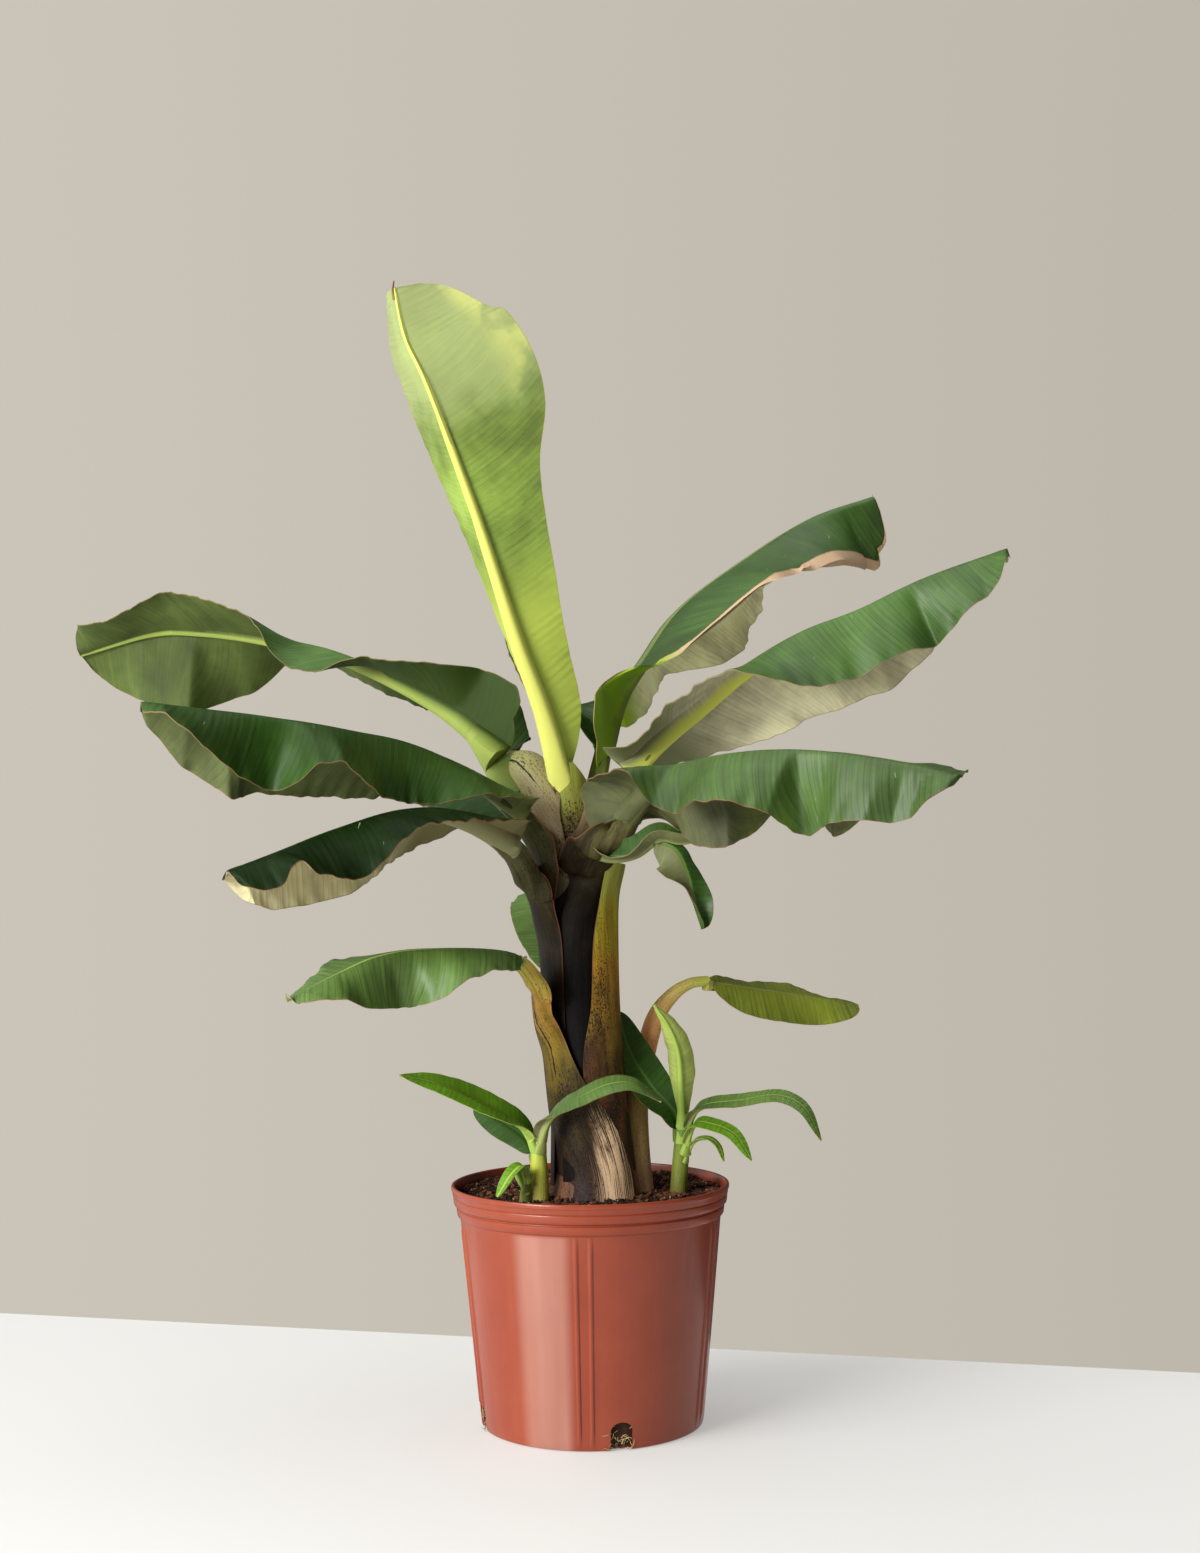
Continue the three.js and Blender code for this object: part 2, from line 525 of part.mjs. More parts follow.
// Each piece gives way to the pieces before it, so that nothing overlaps.
let taken = trunk(GAP).add(ground);
for (const s of STEMS) {
  put(s.name, biggest(stem(s, 0).subtract(taken)), COLOURS.stem, 0.5);
  taken = taken.add(stem(s, GAP));
}
for (const spec of LEAVES) {
  put(spec.name, biggest(leaf(spec, 0).subtract(taken)), COLOURS.leaf, 0.5);
  taken = taken.add(leaf(spec, GAP));
}

export default plant;
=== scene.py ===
"""A young banana plant in a nursery pot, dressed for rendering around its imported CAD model.

Lengths in the tables are millimetres, as in the part's source. Meshes are made in metres.
"""

import math
import random

import bmesh
import bpy
import numpy as np
from mathutils import Matrix, Vector, noise


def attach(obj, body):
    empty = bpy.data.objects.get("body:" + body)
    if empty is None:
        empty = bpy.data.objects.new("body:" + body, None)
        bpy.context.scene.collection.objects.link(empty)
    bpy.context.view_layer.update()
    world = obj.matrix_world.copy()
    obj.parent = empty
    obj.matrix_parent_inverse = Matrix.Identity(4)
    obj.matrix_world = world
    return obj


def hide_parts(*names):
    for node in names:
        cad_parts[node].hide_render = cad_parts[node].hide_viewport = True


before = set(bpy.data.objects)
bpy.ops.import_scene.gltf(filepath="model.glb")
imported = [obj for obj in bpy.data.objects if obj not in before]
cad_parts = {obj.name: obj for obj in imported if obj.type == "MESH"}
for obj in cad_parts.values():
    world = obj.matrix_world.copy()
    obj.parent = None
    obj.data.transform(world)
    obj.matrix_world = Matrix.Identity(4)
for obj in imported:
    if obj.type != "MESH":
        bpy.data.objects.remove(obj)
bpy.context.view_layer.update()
MM = 0.001

# The camera as the photograph's perspective gives it.
IMAGE_HEIGHT = 1553
FOCAL_PIXELS = 2046
SENSOR = 36.0
CAMERA_AT = (13, -1888, 512)
PITCH = 0.04
ROLL = 0.011

# The pot.
POT_HEIGHT = 216
FOOT_RADIUS = 101
WALL = 2.2
POT_FLOOR = 2.5
RING_BOTTOM = 188
RING_RADIUS = 119
RIB_PAIRS = 5
FIRST_RIB_DEG = -93
RIB_SPREAD = 6
RIB_HEIGHT = 1.4
RIB_HALF_WIDTH = 2.1
RIB_BOTTOM = 6
RIB_TOP = 184
HOLES = 4
FIRST_HOLE_DEG = -75.5
HOLE_WIDTH = 20
HOLE_HEIGHT = 25
HOLE_ARCH = 8
ROOTS_PER_HOLE = 34
SOIL_TOP = 206.5
SOIL_RADIUS = 121.6
SOIL_RISE = 0.035
# Height, spacing and offset of the soil's lumps.
SOIL_LUMPS = ((2.2, 22, 3.1), (1.3, 7, 9.4), (0.9, 3, 1.7))

# The leaf rule. Heights and periods are those of the pleats along the veins and of the margin's frill.
STALK_LIFT = math.radians(30)
FLAP_TURN = math.radians(175)
STEEPEST = 1.45
PLEAT_HEIGHT = 0.25
PLEAT_PERIODS = (7.3, 41)
FRILL_HEIGHT = 1.6
FRILL_PERIODS = (37, 149, 17)
# Added to a right half's places along the veins, so that a material can tell the halves apart.
RIGHT_VEINS = 700

# Leaves, as in the part's source, and what leaves of one kind share.
# path: along the midrib from the trunk to the tip. petiole: share of the length before the blade.
# rib: half thickness of the midrib at root, blade and tip, or at the shares in rib_at. up: where the
# upper side faces. begin: share of the stalk that its sheath covers. fullest: where the blade is widest.
# blunt: how full its outline is at the start and the tip, less for fuller. soft: how far from the
# midrib a half reaches its lift. frill: how strong the margin's frill is. flap: width of the right
# half's turned-over margin. turned: 1 where the right half shows its under side's look on top. look: a
# key of LOOKS, or else the name without "leaf_".
# width, waist, lift, curl, wave, ear and edge hold a value for the left half, then one for the right:
# the full width, shares of it along the blade, degrees up from level, further degrees at the margin,
# the size, number and offset of waves in those, how far the margin runs back along the stalk, and the
# margin's outline, which takes the lift's place.
BACK = dict(look="back", petiole=0.15, rib=[10, 7, 1.5], curl=[[0, -20], [0, -20]])
SHOOT = dict(look="young", petiole=0.08, rib=[4, 3, 1], blunt=[0.4, 0.6], soft=3)
LEAVES = [
    dict(name="leaf_top", up=[0, 1, 0], petiole=0.05, rib=[9, 7.5, 1.2], width=[104, 60],
         path=[[-15, 0, 560], [-35, -25, 640], [-60, -45, 710], [-95, -70, 820], [-135, -90, 930],
                [-155, -90, 975], [-165, -90, 1020]], fullest=0.7, blunt=[0.4, 0.38],
         waist=[[0.98, 0.97, 0.77, 0.66, 0.63, 0.63, 0.7, 0.9, 0.98, 0.98, 0.98], [1, 1]],
         lift=[[10, 10, 10, 8, 8, 8, 8, 8, 8, 8, 10], [85, 85, 85, 83, 80, 78, 76, 74, 73, 75, 80]],
         curl=[[10, 10, 0, 0, -10, -20], [0, 0]], frill=0.25),
    dict(name="leaf_upper_left", petiole=0.12, rib=[17, 15, 12, 8, 1.5], rib_at=[0, 0.1, 0.14, 0.19, 1],
         begin=0.45, frill=0.5, width=[70, 94],
         path=[[-30, 0, 555], [-75, 20, 610], [-140, 50, 665], [-240, 100, 715], [-320, 135, 735],
                [-385, 160, 745], [-440, 175, 745], [-515, 190, 725]], blunt=[0.3, 0.32],
         edge=[[(-50, 617), (-47, 648), (-63, 673), (-83, 685), (-106, 691), (-134, 693), (-157, 696),
                (-178, 697), (-194, 699), (-208, 701), (-229, 697), (-240, 689), (-254, 687), (-277, 693),
                (-291, 706), (-300, 725), (-310, 739), (-333, 750), (-370, 761), (-393, 763), (-416, 751),
                (-439, 738), (-463, 733)],
               [(-51, 622), (-60, 655), (-88, 669), (-120, 677), (-131, 669), (-135, 660), (-141, 649),
                (-162, 658), (-185, 667), (-208, 679), (-229, 691), (-254, 697), (-273, 697), (-291, 680),
                (-305, 669), (-322, 664), (-342, 657), (-361, 650), (-375, 644), (-393, 652), (-410, 662),
                (-435, 675), (-453, 689), (-463, 701)]],
         curl=[[0, 0, 0, -10, -10, 0, 0, 0], [-10, -10, -10, 0]]),
    dict(name="leaf_mid_left", petiole=0.12, rib=[12, 8, 1.5], width=[74, 82],
         path=[[-25, -10, 520], [-60, -30, 560], [-100, -60, 590], [-155, -95, 615], [-205, -130, 625],
                [-270, -165, 635], [-320, -190, 640], [-365, -205, 645]],
         edge=[[(-389, 652), (-377, 641), (-347, 615), (-320, 591), (-297, 579), (-283, 577), (-262, 587),
                (-250, 602), (-221, 604), (-203, 584), (-191, 572), (-162, 564), (-132, 564), (-91, 573),
                (-66, 568)],
               [(-412, 657), (-407, 641), (-393, 626), (-375, 602), (-347, 584), (-327, 568), (-305, 577),
                (-283, 573), (-227, 571), (-195, 569), (-172, 582), (-126, 586), (-70, 571)]],
         curl=[[-25, -25], [-20, -20]]),
    dict(name="leaf_lower_left", petiole=0.22, rib=[14, 8, 1.5], width=[62, 62],
         path=[[-35, -25, 460], [-50, -45, 505], [-75, -75, 535], [-120, -110, 555], [-160, -145, 555],
                [-205, -185, 540], [-250, -225, 520], [-285, -255, 505]],
         edge=[[(-331, 500), (-325, 493), (-298, 485), (-278, 490), (-273, 507), (-263, 514), (-248, 502),
                (-226, 495), (-204, 496), (-184, 513), (-168, 532), (-154, 543), (-124, 548)],
               [(-333, 496), (-327, 482), (-313, 474), (-288, 467), (-258, 471), (-233, 477), (-219, 480),
                (-199, 495), (-177, 514), (-152, 526), (-121, 540), (-104, 542), (-90, 538)]],
         curl=[[-25, -25], [-20, -20]]),
    dict(name="leaf_small_left", look="small", petiole=0.22, rib=[12, 6, 1.5], width=[52, 50],
         path=[[-34, -46, 375], [-42, -60, 410], [-72, -75, 431], [-140, -105, 435], [-180, -125, 430],
                [-215, -140, 415], [-255, -150, 395]], fullest=0.45, blunt=[0.36, 0.34],
         edge=[[(-275, 394), (-272, 380), (-254, 385), (-219, 384), (-202, 376), (-160, 376), (-131, 386),
                (-110, 403), (-86, 410)], None],
         lift=[None, [-20, -20, -20, -15, -10, -5, 0, 10, 15, 10, 0]], curl=[[-20, -20], [-10, -10]]),
    dict(name="leaf_upper_right", petiole=0.13, rib=[10, 7, 1.5], width=[80, 84],
         path=[[0, 10, 560], [15, 40, 620], [30, 65, 665], [55, 90, 705], [95, 125, 760], [165, 170, 815],
                [235, 205, 860], [300, 230, 885]], fullest=0.55, blunt=[0.3, 0.17], ear=[0, 34],
         edge=[[(-4, 652), (10, 640), (20, 622), (38, 632), (54, 643), (66, 665), (74, 682), (97, 685),
                (127, 689), (149, 703), (152, 722), (165, 740), (165, 757), (201, 800), (266, 837)],
               [(-4, 631), (-2, 649), (13, 669), (37, 684), (56, 691), (62, 688), (88, 699), (130, 731),
                (163, 759), (182, 770), (205, 775), (238, 781), (276, 777)]],
         flap=[0, 2, 7, 10, 11, 10, 8, 22, 27, 22, 4], curl=[[-20, -20], [-15, -15]]),
    dict(name="leaf_second_right", petiole=0.12, rib=[13, 9, 1.5], width=[86, 74],
         path=[[5, -5, 548], [50, -10, 610], [105, -20, 655], [145, -30, 685], [195, -40, 715],
                [250, -45, 735], [305, -55, 760], [380, -65, 785]], fullest=0.45, blunt=[0.3, 0.27],
         edge=[[(43, 589), (69, 595), (115, 606), (180, 624), (208, 640), (236, 647), (264, 660),
                (282, 663), (301, 681), (322, 700), (344, 738), (386, 784)],
               [(39, 614), (60, 633), (74, 652), (116, 678), (137, 686), (176, 675), (217, 668),
                (255, 677), (278, 691), (301, 702), (326, 704), (343, 724), (358, 741), (376, 752),
                (386, 768), (392, 788)]], curl=[[-10, -10], [0, -20]]),
    dict(name="leaf_third_right", petiole=0.2, rib=[14, 8, 1.5], width=[80, 70],
         path=[[4, -28, 492], [20, -50, 527], [46, -85, 565], [75, -120, 590], [130, -165, 600],
                [185, -200, 600], [240, -240, 590], [300, -270, 575]], blunt=[0.3, 0.34], ear=[0, 44],
         edge=[[(44, 554), (74, 547), (86, 536), (99, 522), (118, 519), (143, 524), (158, 536), (174, 555),
                (211, 550), (229, 528), (243, 530), (254, 549), (290, 572), (327, 594), (347, 588)],
               [(-6, 573), (-1, 584), (16, 591), (38, 593), (48, 579), (54, 564), (82, 551), (100, 565),
                (134, 563), (171, 551), (188, 532), (208, 530), (223, 542), (257, 545), (282, 541),
                (300, 546), (312, 561), (330, 572), (349, 582)]], curl=[[-20, -20], [-25, -25]],
         wave=[[0, 0, 0], [6, 9, 0.3]]),
    dict(name="leaf_curled_right", look="curled", petiole=0.03, rib=[3, 3.5, 1.2], width=[17, 16], soft=4,
         up=[0.1, -0.5, 1],
         path=[[2, -48, 530], [10, -56, 518], [23, -66, 513], [44, -84, 516], [65, -100, 529],
                [82, -110, 526], [96, -114, 529], [100, -112, 541], [103, -110, 553]], fullest=0.4,
         blunt=[0.4, 0.9], lift=[[70, 75, 70, 60, 80, 80, 80], [60, 40, 10, 20, 50, 70, 80]],
         curl=[[0, 20, 30, 40, 50], [0, 0, 20, 30, 50]]),
    dict(name="leaf_curled_flap", look="curled", petiole=0.02, rib=[3, 3, 1.2], width=[18, 24], soft=3,
         up=[0.3, -1, 0.2], turned=1,
         path=[[60, -97, 527], [78, -106, 518], [87, -111, 500], [93, -113, 478], [101, -112, 450]],
         fullest=0.45, blunt=[0.3, 0.35], waist=[[0.5, 0.6, 0.7, 0.9, 1, 1], [0.7, 1, 0.9, 0.45, 0.6, 0.8]],
         lift=[[-10, -10, -20, -20, 10, 30], [-20, -30, -20, 20, 50, 60]],
         curl=[[0, -20, 10, 30, 50], [0, 20, 30, 50, 60]]),
    dict(name="leaf_small_right", petiole=0.03, rib=[5, 4.5, 1.2], width=[26, 32], soft=5,
         path=[[112, 71, 394], [135, 82, 390], [160, 95, 385], [215, 120, 375], [265, 140, 365]],
         lift=[[20, 20, 10], [-60, -70, -50]], curl=[[0, 0], [-10, -10]], wave=[[10, 2, 0.1], [10, 2, 0.3]],
         look="olive"),
    dict(BACK, name="leaf_back_upper", width=[30, 44],
         path=[[-20, 10, 560], [-30, 40, 645], [-45, 100, 700], [-55, 190, 740], [-65, 285, 745]],
         lift=[[30, 20, 0], [75, 75, 60]]),
    dict(BACK, name="leaf_back_left", width=[52, 52],
         path=[[-25, 10, 520], [-50, 50, 555], [-95, 110, 580], [-150, 190, 600], [-215, 280, 605]],
         lift=[[-20, -30, -30], [-20, -30, -30]]),
    dict(BACK, name="leaf_back_right", width=[52, 52],
         path=[[10, 10, 510], [35, 60, 555], [75, 130, 585], [130, 220, 600], [190, 310, 595]],
         lift=[[-10, -30, -30], [-10, -30, -30]]),
    dict(BACK, name="leaf_back_low", look="small", rib=[11, 8, 1.5], width=[42, 50],
         path=[[-15, 25, 370], [-20, 55, 415], [-30, 105, 450], [-40, 165, 475], [-45, 235, 485]],
         fullest=0.45, lift=[[-5, -10, -10], [10, 10, 0]]),
    dict(SHOOT, name="pup_left_leaf_long", width=[14, 16],
         path=[[-46, -30, 250], [-58, -38, 272], [-78, -52, 286], [-108, -68, 304], [-134, -78, 316],
                [-166, -84, 324]], fullest=0.38, lift=[[-10, -40, -55, -50], [60, 60, 50, 40]]),
    dict(SHOOT, name="pup_left_leaf_back", petiole=0.1, width=[16, 14],
         path=[[-47, -28, 240], [-60, -8, 258], [-82, 14, 270], [-106, 34, 282]], blunt=[0.4, 0.4],
         lift=[[-40, -50, -50], [50, 50, 40]], look="mid_left"),
    dict(SHOOT, name="pup_left_leaf_front", petiole=0.06, width=[12, 13],
         path=[[-46, -32, 250], [-38, -46, 278], [-24, -62, 292], [-4, -76, 304], [18, -82, 314],
                [40, -82, 314], [64, -78, 298]], fullest=0.4, blunt=[0.4, 0.5],
         lift=[[50, 50, 40, 30], [20, -40, -50, -40]], look="small"),
    dict(SHOOT, name="pup_low_leaf", rib=[3, 2.5, 1], width=[8, 8], soft=2,
         path=[[-54, -42, 224], [-60, -46, 238], [-70, -56, 232], [-82, -66, 214]], blunt=[0.4, 0.5],
         lift=[[10, 10, 0], [20, 20, 0]]),
    dict(SHOOT, name="pup_right_leaf_dark", width=[20, 20], up=[0.3, -1, 0.3],
         path=[[83, -6, 254], [76, -4, 280], [60, 2, 298], [44, 8, 322], [34, 12, 344], [28, 16, 370]],
         lift=[[20, 10, 10], [20, 10, 10]], look="mid_left"),
    dict(SHOOT, name="pup_right_leaf_upright", petiole=0.1, width=[19, 23], up=[0.2, 1, 0],
         path=[[85, -6, 252], [84, -10, 296], [82, -12, 332], [74, -14, 356], [60, -16, 378]],
         blunt=[0.9, 1.1], lift=[[40, 35, 40], [40, 35, 40]], curl=[[40, 40], [40, 40]]),
    dict(SHOOT, name="pup_right_leaf_arching", rib=[4, 2.5, 1], width=[10, 11],
         path=[[85, -5, 250], [92, -12, 276], [104, -24, 288], [136, -42, 294], [168, -58, 300],
                [190, -70, 290], [204, -78, 262]], fullest=0.4,
         lift=[[50, 40, 30, 30], [-10, -30, -40, -40]], look="small"),
    dict(SHOOT, name="pup_right_leaf_short", rib=[3, 2, 1], width=[5, 5], soft=2,
         path=[[85, -8, 236], [94, -14, 254], [106, -20, 258], [116, -26, 252], [121, -30, 238]],
         fullest=0.45, blunt=[0.5, 0.6], lift=[[20, 10, 0], [-10, -10, -20]]),
    dict(SHOOT, name="pup_low_spike", petiole=0.1, rib=[2.5, 2, 1], width=[5, 5], soft=2, up=[0, 1, 0.2],
         path=[[-57, -38, 212], [-62, -40, 226], [-70, -42, 240]], fullest=0.45, blunt=[0.7, 0.8],
         lift=[[30, 30], [30, 30]]),
    dict(SHOOT, name="pup_right_leaf_drooping", rib=[4, 2.5, 1], width=[9, 10],
         path=[[85, -9, 244], [94, -20, 270], [110, -34, 272], [130, -46, 264], [144, -56, 242]],
         fullest=0.4, lift=[[40, 30, 20], [-20, -30, -40]]),
]

# Pieces that the CAD model doesn't show on their own.
EXTRA_PARTS = ("leaf_top_spike", "leaf_curled_flap", "pup_right_leaf_short", "pup_low_spike")

# The trunk's core: x, y and z of its centre, and its half width and half depth.
TRUNK = np.array([
    (4, 2, 200, 37, 35), (4, 2, 206, 36, 34), (4, 2, 228, 32, 32), (0, 1, 282, 31.5, 31.5),
    (-6, 0, 365, 31.5, 31.5), (-8, 0, 418, 32, 31), (-9, 0, 458, 32, 31), (-10, 0, 490, 31, 29),
    (-13, 0, 520, 27, 26), (-15, 0, 548, 20, 20), (-16, 0, 572, 12, 13),
])


def srgb(red, green, blue):
    """A colour as seen on a screen, from 0 to 255, as the linear values that shaders take."""
    def linear(c):
        c /= 255
        return c / 12.92 if c <= 0.04045 else ((c + 0.055) / 1.055) ** 2.4
    return (linear(red), linear(green), linear(blue), 1.0)


# Paths and the leaf rule

def along(values, share):
    """The values at shares of the way along evenly spaced ones, on a smooth curve through them."""
    v = np.asarray(values, float)
    share = np.clip(np.asarray(share, float), 0, 1)
    n = len(v) - 1
    place = share * n
    i = np.minimum(place.astype(int), n - 1)
    f = place - i
    padded = np.concatenate([[2 * v[0] - v[1]], v, [2 * v[n] - v[n - 1]]])
    before, p, q, after = padded[i], padded[i + 1], padded[i + 2], padded[i + 3]
    if v.ndim > 1:
        f = f[..., None]
    return p + 0.5 * f * (q - before + f * (2 * before - 5 * p + 4 * q - after
                                            + f * (3 * (p - q) + after - before)))


def walk(path, shares):
    """Places along a path by share of its length, directions there, its length and the curve's steps."""
    steps = np.linspace(0, 1, 201)
    spots = along(path, steps)
    reach = np.concatenate([[0], np.cumsum(np.linalg.norm(np.diff(spots, axis=0), axis=1))])
    t = np.interp(np.asarray(shares) * reach[-1], reach, steps)
    heading = along(path, np.minimum(t + 0.001, 1)) - along(path, np.maximum(t - 0.001, 0))
    return along(path, t), unit(heading), reach[-1], t


def unit(v):
    """Vectors of length one in the directions of the given ones."""
    return v / np.linalg.norm(v, axis=-1, keepdims=True)


def squared(wanted, heading):
    """The directions square to the headings that lie nearest to the wanted ones."""
    wanted = np.broadcast_to(np.asarray(wanted, float), heading.shape)
    return unit(wanted - (wanted * heading).sum(-1, keepdims=True) * heading)


def midrib(leaf, shares):
    """Places, directions, normals and half thicknesses of a leaf's midrib at shares of its length."""
    spot, heading, _, _ = walk(leaf["path"], shares)
    rib = np.interp(shares, leaf.get("rib_at", [0, leaf["petiole"], 1]), leaf["rib"])
    return spot, heading, squared(leaf.get("up", [0, 0, 1]), heading), rib


def outline(t, fullest, blunt):
    """A half blade's width along it, as a share of its full width."""
    q = np.clip(t, 0, 1) ** (math.log(0.5) / math.log(fullest))
    return (4 * q * (1 - q)) ** (blunt[0] + (blunt[1] - blunt[0]) * t)


def sine(place, period):
    """A wave along places, with a length."""
    return np.sin(place * 2 * np.pi / period)


def across(width, lift, curl, roll, fold, soft, shares):
    """How far out and up each half has come, and how steep it is. Rows by columns, in radians."""
    width, lift, curl, roll, fold = (a[:, None] for a in (width, lift, curl, roll, fold))

    def steep(m):
        turned = np.clip((m - fold) / np.maximum(0.04, 0.5 * (1 - fold)), 0, 1)
        return lift * np.minimum(1, m * width / soft) + curl * m + roll * turned ** 2 * (3 - 2 * turned)

    steps = 24
    out = np.zeros_like(shares)
    up = np.zeros_like(shares)
    for i in range(steps):
        angle = steep(shares * (i + 0.5) / steps)
        out += width * shares / steps * np.cos(angle)
        up += width * shares / steps * np.sin(angle)
    return out, up, steep(shares)


def eased(values, window):
    """Rows of values averaged over a window of rows."""
    half = max(1, window // 2)
    padded = np.concatenate([2 * values[:1] - values[half:0:-1], values,
                             2 * values[-1:] - values[-2:-half - 2:-1]])
    weight = np.hanning(2 * half + 3)[1:-1]
    weight /= weight.sum()
    return np.stack([np.convolve(padded[:, i], weight, "valid") for i in range(values.shape[1])], 1)


def hang(edge, spot, sideways, normal, width, curl, soft, t):
    """The lift and width that bring a half's margin to an outline.

    The outline's points are x and z on the upright plane through the pot's axis, as the camera sees them.
    """
    x_of, z_of = np.array(sorted(edge), float).T
    eye = np.array(CAMERA_AT, float)
    full = np.ones((len(t), 1))
    none = np.zeros(len(t))
    nominal = width.copy()
    body = (t > 0.03) & (t < 0.96)
    lift = none.copy()
    for _ in range(40):
        out, up, _ = across(width, lift, curl, none, none + 1, soft, full)
        margin = spot + sideways * out + normal * up
        seen = eye + (margin - eye) * (-eye[1] / (margin[:, 1] - eye[1]))[:, None]
        miss = np.interp(seen[:, 0], x_of, z_of) - seen[:, 2]
        lift = np.clip(lift + 0.5 * miss / np.maximum(width, 8), -STEEPEST, STEEPEST)
        short = body & (np.abs(lift) > STEEPEST - 0.01) & (np.abs(miss) > 1)
        width = np.where(short, np.minimum(width + 0.3 * np.abs(miss), 1.4 * nominal + 6), width)
    table = eased(np.stack([lift, width], 1), 7)
    return table[:, 0], np.minimum(table[:, 1], np.maximum(width, 1))


# Meshes

def new_object(name, points, faces, maps=None, smooth=True, sharp_deg=50):
    """A mesh object from points in mm. maps gives each point two numbers per named map."""
    mesh = bpy.data.meshes.new(name)
    mesh.from_pydata((np.asarray(points, float).reshape(-1, 3) * MM).tolist(), [], faces)
    loops = np.empty(len(mesh.loops), np.int64)
    mesh.loops.foreach_get("vertex_index", loops)
    for key, values in (maps or {}).items():
        layer = mesh.uv_layers.new(name=key)
        layer.uv.foreach_set("vector", values.reshape(-1, 2).astype(np.float32)[loops].ravel())
    if smooth:
        mesh.shade_smooth()
        mesh.set_sharp_from_angle(angle=math.radians(sharp_deg))
    mesh.update()
    obj = bpy.data.objects.new(name, mesh)
    bpy.context.scene.collection.objects.link(obj)
    return obj


def ring_faces(rows, count, first=0, capped=False):
    """Faces of a skin through rings of points. The first ring starts at the point first."""
    last = first + (rows - 1) * count
    faces = [(a + j, a + (j + 1) % count, a + count + (j + 1) % count, a + count + j)
             for a in range(first, last, count) for j in range(count)]
    if capped:
        faces += [(first, *range(first + count - 1, first, -1)), tuple(range(last, last + count))]
    return faces


def tube(name, rings, maps):
    """A closed skin through rings of points, with strips across its ends."""
    rows, count = rings.shape[:2]
    faces = ring_faces(rows, count)
    last = (rows - 1) * count
    for j in range(count // 2 - 1):
        a, b, c, d = j, j + 1, count - 2 - j, count - 1 - j
        faces += [(a, d, c, b), (last + a, last + b, last + c, last + d)]
    return new_object(name, rings, faces, maps)


def pairs(a, b):
    """Two numbers for each point of a map."""
    return np.stack(np.broadcast_arrays(a, b), -1)


def mend(mesh):
    """Joins points at one place and turns all faces outwards."""
    work = bmesh.new()
    work.from_mesh(mesh)
    bmesh.ops.remove_doubles(work, verts=work.verts, dist=1e-6)
    bmesh.ops.recalc_face_normals(work, faces=work.faces)
    work.to_mesh(mesh)
    work.free()


